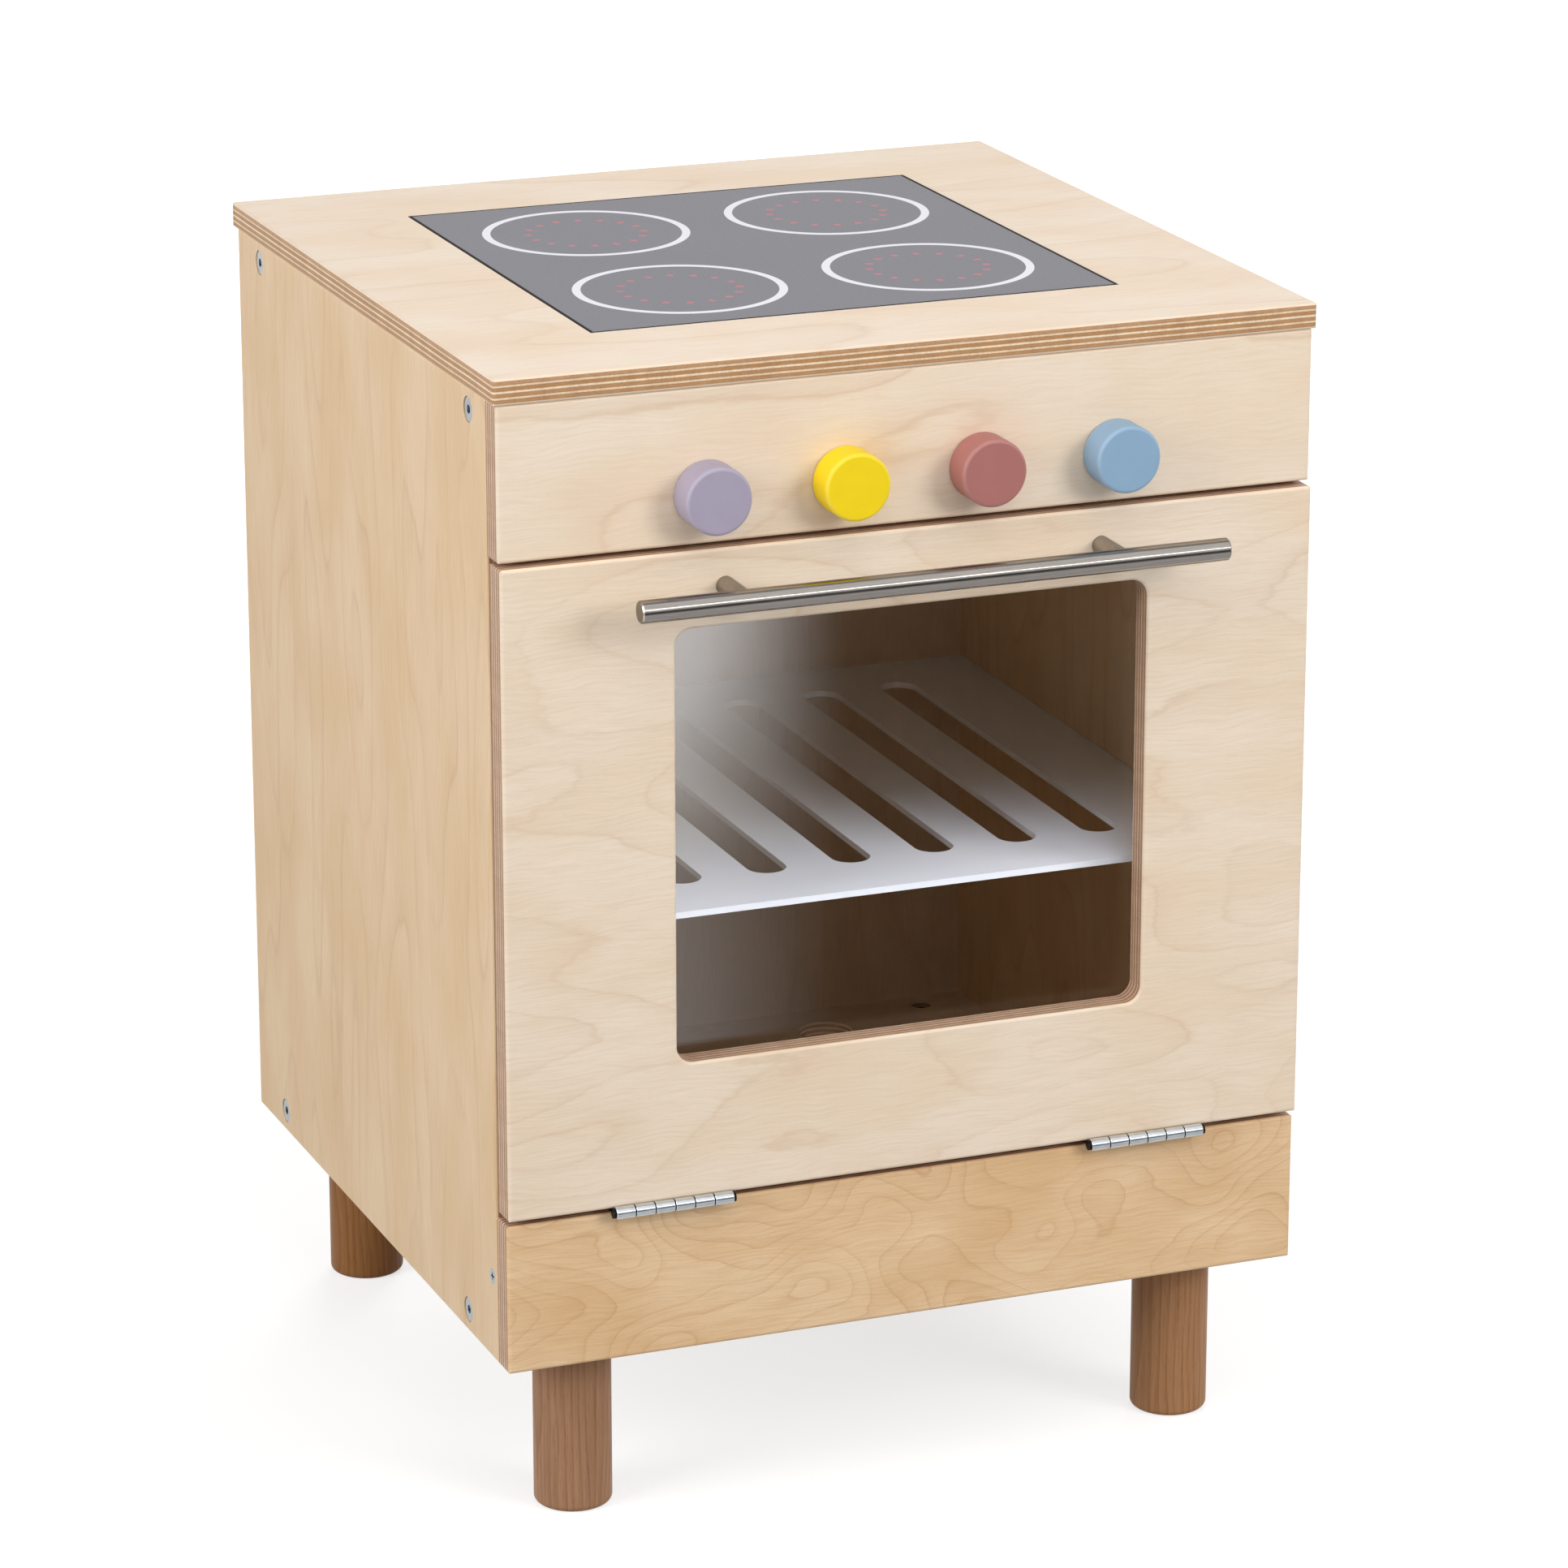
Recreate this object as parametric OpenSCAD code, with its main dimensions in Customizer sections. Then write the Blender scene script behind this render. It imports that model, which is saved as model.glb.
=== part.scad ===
// Toy oven for a play kitchen: a birch plywood cabinet on four round legs, with a drop-down
// door and its clear window, a slotted shelf, a printed hob panel and four turning knobs.
// Frame: X to the right, Y to the back, Z up. The origin is on the floor, under the middle
// of the whole depth from the handle bar to the rear edge of the worktop.

/* [Worktop and hob] */
// Width of the worktop
worktop_w = 400; // [380:1:480]
// Depth of the worktop
worktop_d = 390; // [370:1:460]
// Thickness of the worktop
worktop_t = 12.5; // [11:0.5:18]
// Worktop past the outer face of each side panel
side_overhang = 1.5; // [0:0.5:6]
// Worktop past the front of the control panel
front_overhang = 1.3; // [0:0.1:6]
// Worktop past the rear edges of the side panels
rear_overhang = 3.5; // [0:0.5:10]
// Width and depth of the square hob panel
hob_w = 260; // [200:1:300]
// Thickness of the hob panel, which lies flush in the worktop
hob_t = 2; // [1:0.5:3]
// Gap all round the hob panel
hob_gap = 0.4; // [0.2:0.1:1]
// Hob panel's centre behind the worktop's centre
hob_back = 1.5; // [-2:0.5:3]

/* [Cabinet] */
// Thickness of the side panels
side_t = 18; // [16:0.5:22]
// Thickness of the control panel and of the kick panel
front_t = 15; // [12:0.5:18]
// Height of the control panel
fascia_h = 72; // [60:0.5:90]
// Height of the kick panel
kick_h = 72.5; // [68:0.5:90]
// Thickness of the floor panel
floor_t = 15; // [14:0.5:20]
// Underside of the floor panel above the lower edges of the side panels
floor_rise = 3.5; // [0:0.5:8]
// Thickness of the back panel
back_t = 15; // [9:0.5:18]
// Back panel's rear face in front of the rear edges of the side panels
back_inset = 5.5; // [1:0.5:12]
// Height of the two top rails
rail_t = 20; // [18:0.5:28]
// Depth of the front top rail
front_rail_d = 45; // [30:1:55]
// Depth of the rear top rail
rear_rail_d = 30; // [24:1:36]
// Thickness of the rail behind the kick panel
kick_rail_t = 12; // [10:0.5:15]
// Height of the rail behind the kick panel
kick_rail_h = 45; // [30:1:50]
// Rounding of the edges of the boards
edge_round = 1.6; // [0.8:0.1:2.4]

/* [Oven floor] */
// Diameter of the round hole in the oven floor
floor_hole_d = 28; // [15:1:40]
// Centre of the hole to the right of the middle
floor_hole_x = 92; // [60:1:110]
// Centre of the hole in front of the back panel
floor_hole_inset = 33; // [26:1:60]

/* [Shelf] */
// Thickness of the shelf
shelf_t = 3; // [2:0.5:6]
// Underside of the shelf above the oven floor
shelf_rise = 182.5; // [120:0.5:250]
// Depth of the grooves that hold the shelf in the side panels
groove_depth = 4; // [2:0.5:7]
// Front edge of the shelf behind the front edges of the side panels
shelf_setback = 12; // [4:0.5:40]
// Number of slots in the shelf
slot_count = 7; // [3:1:8]
// Width of a slot
slot_w = 19; // [8:0.5:24]
// Distance from slot to slot
slot_pitch = 42.5; // [30:0.5:44]
// Solid margin of the shelf in front of the slots
slot_front = 38; // [15:1:60]
// Solid margin of the shelf behind the slots
slot_rear = 34; // [15:1:60]

/* [Legs] */
// Diameter of a leg
leg_d = 37; // [28:0.5:42]
// Length of a leg, from the ground to the floor panel
leg_len = 88; // [60:1:160]
// Rounding of the lower edge of a leg
leg_round = 3; // [1:0.5:5]
// Leg axis inside the inner face of the side panel
leg_inset_side = 26.5; // [22:0.5:45]
// Leg axis behind the front edge of the floor panel
leg_inset_front = 24; // [22:0.5:28]
// Leg axis in front of the rear edge of the floor panel
leg_inset_rear = 13.5; // [9:0.5:15]

/* [Door] */
// Thickness of the door
door_t = 15; // [13:0.5:18]
// Front of the door in front of the control panel
door_proud = 3; // [2.5:0.5:5]
// Gap between the door and the control panel
door_top_gap = 2; // [1:0.5:5]
// Gap between the kick panel and the door, which takes the hinge leaves
hinge_gap = 3; // [2.8:0.1:4]
// Width of the window
window_w = 232; // [160:1:280]
// Height of the window
window_h = 206; // [140:1:240]
// Lower edge of the window above the lower edge of the door
window_sill = 66; // [40:1:90]
// Upper edge of the window below the upper edge of the door
window_head = 36; // [34:1:60]
// Corner radius of the window
window_r = 8; // [3:0.5:30]
// Thickness of the window pane
pane_t = 3; // [2:0.5:5]
// Width of the rebate that the pane lies in
pane_lap = 9; // [8:0.5:10]

/* [Handle] */
// Diameter of the handle bar
bar_d = 10.5; // [9:0.5:14]
// Length of the handle bar
bar_len = 286; // [230:1:340]
// Axis of the bar in front of the door
bar_standoff = 27; // [20:1:40]
// Axis of the bar below the upper edge of the door
bar_drop = 17.5; // [12:0.5:20]
// Distance between the two posts
post_cc = 184; // [120:1:220]
// Diameter of a post
post_d = 9; // [8:0.5:10]

/* [Knobs] */
// Diameter of a knob
knob_d = 31.5; // [24:0.5:38]
// Length of a knob
knob_len = 16; // [11:0.5:24]
// Rounding of the front edge of a knob
knob_round = 1.8; // [0.5:0.1:4]
// Distance from knob to knob
knob_pitch = 66.4; // [45:0.1:80]
// Knob axis above the lower edge of the control panel
knob_rise = 23; // [20:0.5:30]
// Diameter of the bolt that a knob turns on
knob_bolt_d = 6; // [5:0.5:7]
// Diameter of the washer behind a knob
washer_d = 16; // [12:0.5:20]
// Thickness of the washer behind a knob
washer_t = 0.5; // [0.4:0.1:1.5]

/* [Hinges] */
// Length of a hinge
hinge_len = 58; // [40:1:80]
// Middle of each hinge inside the side edge of the door
hinge_inset = 79.5; // [50:0.5:130]
// Number of knuckles in a hinge
knuckle_count = 6; // [4:1:8]
// Diameter of the hinge barrel
barrel_d = 6; // [5:0.2:6.4]
// Diameter of the hinge pin
pin_d = 3; // [2:0.2:3.4]
// Thickness of a hinge leaf
leaf_t = 1.2; // [0.8:0.1:1.3]
// Depth of the flat of a hinge leaf
leaf_d = 13; // [11:0.5:13.5]
// Rear of the hinge barrel behind the face of the door
barrel_bite = 0.8; // [0.2:0.1:1]

/* [Fasteners] */
// Diameter of the bolts that join the cabinet
bolt_d = 6; // [5:0.5:7]
// Diameter of the flat heads of these bolts
bolt_head_d = 11.5; // [10:0.5:14]
// Thickness of the flat heads
bolt_head_t = 1.6; // [1:0.2:3]
// Depth of the heads below the face of the side panel
bolt_sink = 0.4; // [0:0.1:1.5]
// Diameter of the barrel nuts
barrel_nut_d = 10; // [9:0.5:11]
// Barrel nut's axis inside the end of the rail or floor panel
barrel_nut_inset = 16; // [14:0.5:22]
// Lower front bolt behind the front edge of the floor panel
floor_bolt_front = 41.5; // [38:0.5:70]
// Lower rear bolt in front of the rear edge of the floor panel
floor_bolt_rear = 24; // [22:0.5:60]
// Diameter of the wood screws
screw_d = 4; // [3:0.1:4.4]
// Diameter of the heads of the wood screws
screw_head_d = 7.6; // [6.4:0.2:9]
// Diameter of the dowels
dowel_d = 8; // [6:0.5:9]

/* [Hidden] */
$fn = 64;

// Clearances
fit = 0.05;          // round a bolt, pin, screw or dowel in its hole
seat_gap = 0.3;      // between pieces that stay apart
through = 1;         // cutters run this far past a face
end_cover = 4;       // solid left over the end of a blind screw, dowel or bolt

// Colours
birch = [0.92, 0.84, 0.74];
birch_side = [0.87, 0.76, 0.62];
birch_kick = [0.84, 0.70, 0.52];
beech = [0.60, 0.44, 0.32];
hob_grey = [0.35, 0.35, 0.38];
shelf_white = [0.93, 0.93, 0.96];
clear_pane = [0.80, 0.86, 0.90, 0.35];
steel = [0.66, 0.65, 0.63];
zinc = [0.76, 0.80, 0.84];
black = [0.08, 0.08, 0.08];
dowel_wood = [0.86, 0.74, 0.56];
lilac = [0.62, 0.58, 0.69];
yellow = [0.98, 0.83, 0.06];
rose = [0.66, 0.42, 0.42];
blue = [0.60, 0.70, 0.82];

// Planes across the width
body_x = worktop_w / 2 - side_overhang;      // outer faces of the side panels
in_x = body_x - side_t;                      // their inner faces

// Planes across the depth
total_d = worktop_d - front_overhang + door_proud + bar_standoff + bar_d / 2;
worktop_y1 = total_d / 2;
worktop_y0 = worktop_y1 - worktop_d;
worktop_y = worktop_y1 - worktop_d / 2;
fascia_y0 = worktop_y0 + front_overhang;     // front of the control and kick panels
side_y0 = fascia_y0 + front_t;               // front edges of the side panels
side_y1 = worktop_y1 - rear_overhang;
back_y1 = side_y1 - back_inset;
back_y0 = back_y1 - back_t;                  // back wall of the oven
door_y0 = fascia_y0 - door_proud;
door_y1 = door_y0 + door_t;

// Heights that follow from what is stacked
door_h = window_sill + window_h + window_head;
side_h = kick_h + hinge_gap + door_h + door_top_gap + fascia_h;

// Levels
body_z0 = leg_len - floor_rise;
body_z1 = body_z0 + side_h;
floor_z1 = leg_len + floor_t;                // oven floor
kick_z1 = body_z0 + kick_h;
door_z0 = kick_z1 + hinge_gap;
fascia_z0 = body_z1 - fascia_h;
door_z1 = fascia_z0 - door_top_gap;
rail_z0 = body_z1 - rail_t;

// Joints: the hinge line of the door and the axes of the knobs
hinge_y = door_y0 + barrel_bite - barrel_d / 2;
hinge_z = kick_z1 + hinge_gap / 2;
knob_z = fascia_z0 + knob_rise;
knob_y1 = fascia_y0 - washer_t;              // rear face of a knob
knob_y0 = knob_y1 - knob_len;

// Connector bolts: [y, z] of each on a side panel
floor_mid_z = leg_len + floor_t / 2;
rail_mid_z = body_z1 - rail_t / 2;
front_rail_y = side_y0 + front_rail_d / 2;
rear_rail_y = back_y0 - rear_rail_d / 2;
top_bolt_yz = [[front_rail_y, rail_mid_z], [rear_rail_y, rail_mid_z]];
floor_bolt_yz = [[side_y0 + floor_bolt_front, floor_mid_z], [back_y0 - floor_bolt_rear, floor_mid_z]];
bolt_yz = concat(top_bolt_yz, floor_bolt_yz);
bolt_past_nut = 3;
bolt_end = side_t + barrel_nut_inset + bolt_past_nut; // from the panel's outer face
barrel_nut_margin = 1.5;                     // barrel nut's end inside the board's faces
hex_af = 4;
hex_depth = 1.2;
head_hole_gap = 0.3;                         // round a flat head in its counterbore
bolt_hole_past = 1;                          // hole beyond the bolt's end

// Legs
leg_x = in_x - leg_inset_side;
leg_y = [side_y0 + leg_inset_front, back_y0 - leg_inset_rear];
leg_bolt_d = 6;
leg_head_d = 10;
leg_head_t = 5;
leg_head_sink = 3;                           // head below the oven floor
leg_head_gap = 0.5;                          // round the head in its counterbore
leg_head_hole_d = leg_head_d + 2 * leg_head_gap;
leg_hex_depth = 3;
leg_bolt_len = 38;                           // under the head
insert_d = 10;
insert_len = 18;

// Wood screws
worktop_screw_inset = 60.5;                  // inside the side panel's inner face
worktop_screw_x = in_x - worktop_screw_inset;
worktop_screw_len = rail_t + worktop_t - hob_t - end_cover;
back_screw_past_leg = 24;                    // from the leg's axis towards the middle
back_screw_x = [-1, 0, 1] * (leg_x - back_screw_past_leg);
back_screw_grip = 16;                        // in the rail or floor panel
back_screw_len = back_t + back_screw_grip;
kick_rail_screw_grip = 18;                   // in the rail
kick_rail_screw_len = side_t + kick_rail_screw_grip;
kick_rail_mid_z = floor_z1 + kick_rail_h / 2;
kick_rail_y = side_y0 + kick_rail_t / 2;
kick_screw_inset = 105.5;                    // inside the side panel's inner face
kick_screw_x = [-1, 0, 1] * (in_x - kick_screw_inset);
kick_screw_len = kick_rail_t + front_t - end_cover;
cross_w = 0.9;
cross_len = 4;
cross_depth = 1.2;

// Dowels between the side panels' front edges and the front boards
dowel_x = body_x - side_t / 2;
dowel_in_board = front_t - end_cover;
dowel_in_side = 14;
dowel_margin = 12;                           // from the upper and lower edges of what it joins
fascia_dowel_z = [fascia_z0 + dowel_margin, body_z1 - dowel_margin - rail_t];
kick_dowel_z = [body_z0 + dowel_margin + floor_t, kick_z1 - dowel_margin];

// Magnetic catch on the right side panel, and its strike plate on the door
catch_size = [14, 18, 34];
catch_drop = 30;                             // its middle below the door's upper edge
catch_z = door_z1 - catch_drop;
magnet_size = [8, 12, 20];
strike_t = 1.2;
strike_size = [12, strike_t, 28];
catch_screw_z = 13;
catch_screw_d = 3;
catch_screw_grip = 9;                        // in the side panel
catch_screw_len = catch_size.x + catch_screw_grip;
strike_screw_len = door_t - end_cover;
strike_screw_head_d = 5;
strike_screw_edge = 4;                       // from the plate's upper and lower edges
catch_y0 = side_y0;
catch_x0 = in_x - catch_size.x;
catch_x = in_x - catch_size.x / 2;
magnet_y0 = door_y1 + strike_t;

// Felt bumpers that the closed door rests on
bumper_d = 9;
bumper_t = side_y0 - door_y1;

// Door window and pane
window_z0 = door_z0 + window_sill;
window_z = window_z0 + window_h / 2;
pane_clear = 0.5;
pane_w = window_w + 2 * (pane_lap - pane_clear);
pane_h = window_h + 2 * (pane_lap - pane_clear);
pane_screw_d = 3;
pane_screw_head_d = 6;
pane_screw_head_t = 1.8;
pane_screw_len = door_t - end_cover + 1;     // under the head
pane_screw_edge = (pane_lap - pane_clear) / 2;
pane_screw_half = [pane_w / 2 - pane_screw_edge, pane_h / 2 - pane_screw_edge];

// Handle
bar_y = door_y0 - bar_standoff;
bar_z = door_z1 - bar_drop;
bar_chamfer = 0.6;
handle_screw_d = 4;
handle_screw_head_d = 8;
handle_screw_head_t = 2.2;
handle_screw_in_post = 12;

// Hinges
hinge_x = body_x - hinge_inset;
knuckle_w = hinge_len / knuckle_count;
knuckle_gap = 0.2;
leaf_y0 = hinge_y + barrel_d / 2 + seat_gap;
leaf_screw_d = 2.6;
leaf_screw_head_d = 4.6;
leaf_screw_len = 13;
leaf_screw_end = 9;                          // outer screws inside the ends of the leaf
leaf_screw_x = [-1, 0, 1] * (hinge_len / 2 - leaf_screw_end);
leaf_screw_back = 1;                         // behind the middle of the leaf's flat
leaf_screw_y = leaf_y0 + leaf_d / 2 + leaf_screw_back;
pin_cap_d = 4.6;
pin_cap_t = 1;

// Knobs
knob_bolt_in_knob = knob_len - end_cover;
nut_flange_d = 13;
nut_flange_t = 1.5;
nut_af = 10;
nut_len = 6;
nut_gap = 0.2;                               // running gap behind the control panel
bolt_past_lock_nut = 1;
knob_count = 4;
knob_x = [for (i = [0 : knob_count - 1]) (i - (knob_count - 1) / 2) * knob_pitch];

// ---- Shared shapes

// Rectangle with round corners, from the origin
module rounded_rect(w, h, r) {
    translate([r, 0]) square([w - 2 * r, h]);
    translate([0, r]) square([w, h - 2 * r]);
    for (x = [r, w - r], y = [r, h - r]) translate([x, y]) circle(r = r);
}

// Slot with half-round ends, its length along Y from the origin
module slot(w, len) {
    translate([-w / 2, w / 2]) square([w, len - w]);
    for (y = [w / 2, len - w / 2]) translate([0, y]) circle(d = w);
}

// Board with all its edges rounded, between two corners
module board(low, high, r = edge_round) {
    size = high - low;
    translate(low) intersection() {
        linear_extrude(size.z) rounded_rect(size.x, size.y, r);
        translate([0, size.y, 0]) rotate([90, 0, 0])
            linear_extrude(size.y) rounded_rect(size.x, size.z, r);
        rotate([90, 0, 90]) linear_extrude(size.x) rounded_rect(size.y, size.z, r);
    }
}

// Plain block between two corners
module block(low, high) {
    translate(low) cube(high - low);
}

// Countersunk screw along +Z, its flat head's face at z = 0; extra widens it into its hole
module countersunk(d, head_d, len, extra = 0) {
    head_h = (head_d - d) / 2;
    cylinder(d1 = head_d + 2 * extra, d2 = d + 2 * extra, h = head_h);
    translate([0, 0, head_h / 2]) cylinder(d = d + 2 * extra, h = len - head_h / 2 + extra);
}

// Cross recess in a screw's head at z = 0
module cross_recess(len = cross_len) {
    for (a = [0, 90]) rotate([0, 0, a])
        translate([-len / 2, -cross_w / 2, -through]) cube([len, cross_w, cross_depth + through]);
}

// Countersunk wood screw with its cross recess
module wood_screw(d, head_d, len) {
    difference() {
        countersunk(d, head_d, len);
        cross_recess(head_d / 2);
    }
}

// Flat-headed connector bolt along +Z, its head's face at z = 0
module connector_bolt(len) {
    difference() {
        union() {
            cylinder(d = bolt_head_d, h = bolt_head_t);
            cylinder(d = bolt_d, h = len);
        }
        translate([0, 0, -through]) cylinder(d = hex_af / cos(30), h = hex_depth + through, $fn = 6);
    }
}

// Hole for a connector bolt, from outside the panel
module connector_hole(len) {
    translate([0, 0, -through])
        cylinder(d = bolt_head_d + 2 * head_hole_gap, h = bolt_sink + bolt_head_t + through);
    cylinder(d = bolt_d + 2 * fit, h = len);
}

// ---- Where the repeated fasteners go

// side = -1 on the left, 1 on the right; the child points inwards from the outer face
module at_side(side, yz, depth = 0) {
    translate([side * (body_x - depth), yz[0], yz[1]]) rotate([0, -side * 90, 0]) children();
}

// The cutters of the connector bolts and of the barrel nuts, for a rail or the floor panel
module bolt_cutters(yz_list, board_t) {
    for (side = [-1, 1], yz = yz_list) {
        at_side(side, yz) cylinder(d = bolt_d + 2 * fit, h = bolt_end + bolt_hole_past);
        barrel_nut_hole(side, yz, board_t);
    }
}

// The child at the underside of the board, on the axis of a barrel nut
module at_barrel_nut(side, yz, board_t) {
    translate([side * (in_x - barrel_nut_inset), yz[0], yz[1] - board_t / 2]) children();
}

// Blind hole of a barrel nut, drilled from the underside of the board
module barrel_nut_hole(side, yz, board_t) {
    at_barrel_nut(side, yz, board_t) translate([0, 0, -through])
        cylinder(d = barrel_nut_d + 2 * fit, h = through + board_t - barrel_nut_margin + fit);
}

// The child at each screw that holds the worktop, pointing up from under the rails
module at_worktop_screws() {
    for (x = [-worktop_screw_x, worktop_screw_x], y = [front_rail_y, rear_rail_y])
        translate([x, y, rail_z0]) children();
}

// The child at each screw of the back panel, pointing to the front
module at_back_screws() {
    for (x = back_screw_x, z = [floor_mid_z, rail_mid_z])
        translate([x, back_y1, z]) rotate([90, 0, 0]) children();
}

// The child at each screw through the kick rail into the kick panel, pointing to the front
module at_kick_screws() {
    for (x = kick_screw_x)
        translate([x, side_y0 + kick_rail_t, kick_rail_mid_z]) rotate([90, 0, 0]) children();
}

// The child at each dowel, starting inside the front board and pointing to the back
module at_dowels(z_list) {
    for (x = [-dowel_x, dowel_x], z = z_list)
        translate([x, side_y0 - dowel_in_board, z]) rotate([-90, 0, 0]) children();
}

module dowel(extra = 0) {
    translate([0, 0, -extra])
        cylinder(d = dowel_d + 2 * extra, h = dowel_in_board + dowel_in_side + 2 * extra);
}

// The child at each screw of a hinge leaf; up = 1 into the door, -1 into the kick panel
module at_leaf_screws(up) {
    for (side = [-1, 1], x = leaf_screw_x)
        translate([side * hinge_x + x, leaf_screw_y, hinge_z + up * (hinge_gap / 2 - leaf_t)])
            rotate([up > 0 ? 0 : 180, 0, 0]) children();
}

// The child at each screw of the window pane, pointing to the front
module at_pane_screws() {
    for (x = [-1, 0, 1], z = [-1, 0, 1]) if (x != 0 || z != 0)
        translate([x * pane_screw_half.x, door_y1, window_z + z * pane_screw_half.y])
            rotate([90, 0, 0]) children();
}

module at_posts() {
    for (x = [-post_cc / 2, post_cc / 2]) translate([x, 0, bar_z]) children();
}

module at_legs() {
    for (x = [-leg_x, leg_x], y = leg_y) translate([x, y, 0]) children();
}

// ---- Cabinet

module worktop() {
    half = worktop_w / 2;
    hob_half = hob_w / 2 + hob_gap;
    hob_y = worktop_y + hob_back;
    color(birch) difference() {
        board([-half, worktop_y0, body_z1], [half, worktop_y1, body_z1 + worktop_t]);
        block([-hob_half, hob_y - hob_half, body_z1 + worktop_t - hob_t],
              [hob_half, hob_y + hob_half, body_z1 + worktop_t + through]);
        at_worktop_screws() cylinder(d = screw_d + 2 * fit, h = worktop_screw_len + fit);
    }
}

module hob_panel() {
    hob_y = worktop_y + hob_back;
    color(hob_grey)
        block([-hob_w / 2, hob_y - hob_w / 2, body_z1 + worktop_t - hob_t],
              [hob_w / 2, hob_y + hob_w / 2, body_z1 + worktop_t]);
}

// side = -1 on the left, 1 on the right
module side_panel(side) {
    x0 = side > 0 ? in_x : -body_x;
    color(birch_side) difference() {
        board([x0, side_y0, body_z0], [x0 + side_t, side_y1, body_z1]);
        // groove of the shelf, open to the rear
        block([side > 0 ? in_x - through : -in_x - groove_depth, side_y0 + shelf_setback - seat_gap,
               floor_z1 + shelf_rise],
              [side > 0 ? in_x + groove_depth : -in_x + through, side_y1 + through,
               floor_z1 + shelf_rise + shelf_t + seat_gap]);
        for (yz = bolt_yz) at_side(side, yz) connector_hole(side_t + through);
        at_side(side, [kick_rail_y, kick_rail_mid_z])
            countersunk(screw_d, screw_head_d, side_t + through, fit);
        at_dowels(fascia_dowel_z) dowel(fit);
        at_dowels(kick_dowel_z) dowel(fit);
        if (side > 0) at_catch_screws() cylinder(d = catch_screw_d + 2 * fit, h = catch_screw_len + fit);
    }
}

module left_side_panel() { side_panel(-1); }
module right_side_panel() { side_panel(1); }

module back_panel() {
    color(birch_side) difference() {
        block([-in_x, back_y0, leg_len], [in_x, back_y1, body_z1]);
        at_back_screws() countersunk(screw_d, screw_head_d, back_screw_len, fit);
    }
}

module floor_panel() {
    color(birch_side) difference() {
        block([-in_x, side_y0, leg_len], [in_x, back_y0, floor_z1]);
        translate([floor_hole_x, back_y0 - floor_hole_inset, leg_len - through])
            cylinder(d = floor_hole_d, h = floor_t + 2 * through);
        at_legs() {
            translate([0, 0, leg_len - through])
                cylinder(d = leg_bolt_d + 2 * fit, h = floor_t + 2 * through);
            translate([0, 0, floor_z1 - leg_head_sink - leg_head_t])
                cylinder(d = leg_head_hole_d, h = leg_head_sink + leg_head_t + through);
        }
        bolt_cutters(floor_bolt_yz, floor_t);
        at_back_screws() cylinder(d = screw_d + 2 * fit, h = back_screw_len + fit);
    }
}

module front_top_rail() {
    color(dowel_wood) difference() {
        block([-in_x, side_y0, rail_z0], [in_x, side_y0 + front_rail_d, body_z1]);
        bolt_cutters([top_bolt_yz[0]], rail_t);
        at_worktop_screws() countersunk(screw_d, screw_head_d, rail_t + through, fit);
    }
}

module rear_top_rail() {
    color(dowel_wood) difference() {
        block([-in_x, back_y0 - rear_rail_d, rail_z0], [in_x, back_y0, body_z1]);
        bolt_cutters([top_bolt_yz[1]], rail_t);
        at_worktop_screws() countersunk(screw_d, screw_head_d, rail_t + through, fit);
        at_back_screws() cylinder(d = screw_d + 2 * fit, h = back_screw_len + fit);
    }
}

module control_panel() {
    color(birch) difference() {
        board([-body_x, fascia_y0, fascia_z0], [body_x, side_y0, body_z1]);
        for (x = knob_x) translate([x, fascia_y0 - through, knob_z]) rotate([-90, 0, 0])
            cylinder(d = knob_bolt_d + 2 * fit, h = front_t + 2 * through);
        at_dowels(fascia_dowel_z) dowel(fit);
    }
}

module kick_panel() {
    color(birch_kick) difference() {
        board([-body_x, fascia_y0, body_z0], [body_x, side_y0, kick_z1]);
        at_dowels(kick_dowel_z) dowel(fit);
        at_kick_screws() cylinder(d = screw_d + 2 * fit, h = kick_screw_len + fit);
        at_leaf_screws(-1) cylinder(d = leaf_screw_d + 2 * fit, h = leaf_screw_len + fit);
    }
}

module kick_rail() {
    color(dowel_wood) difference() {
        block([-in_x, side_y0, floor_z1], [in_x, side_y0 + kick_rail_t, floor_z1 + kick_rail_h]);
        for (side = [-1, 1]) at_side(side, [kick_rail_y, kick_rail_mid_z])
            cylinder(d = screw_d + 2 * fit, h = kick_rail_screw_len + fit);
        at_kick_screws() countersunk(screw_d, screw_head_d, kick_rail_t + through, fit);
    }
}

module oven_shelf() {
    half = in_x + groove_depth - seat_gap;
    y0 = side_y0 + shelf_setback;
    z0 = floor_z1 + shelf_rise;
    color(shelf_white) difference() {
        block([-half, y0, z0], [half, back_y0, z0 + shelf_t]);
        for (i = [0 : slot_count - 1])
            translate([(i - (slot_count - 1) / 2) * slot_pitch, y0 + slot_front, z0 - through])
                linear_extrude(shelf_t + 2 * through)
                    slot(slot_w, back_y0 - slot_rear - y0 - slot_front);
    }
}

// ---- Legs

// Round leg on the ground, its lower edge rounded, drilled from above for the insert
module leg(x, y) {
    color(beech) translate([x, y, 0]) difference() {
        rotate_extrude() {
            square([leg_d / 2 - leg_round, leg_len]);
            translate([0, leg_round]) square([leg_d / 2, leg_len - leg_round]);
            translate([leg_d / 2 - leg_round, leg_round]) intersection() {
                circle(r = leg_round);
                translate([0, -leg_round]) square(leg_round);
            }
        }
        translate([0, 0, leg_len - insert_len])
            cylinder(d = insert_d + 2 * fit, h = insert_len + through);
        translate([0, 0, floor_z1 - leg_head_sink - leg_head_t - leg_bolt_len - fit])
            cylinder(d = leg_bolt_d + 2 * fit, h = leg_len);
    }
}

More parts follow.
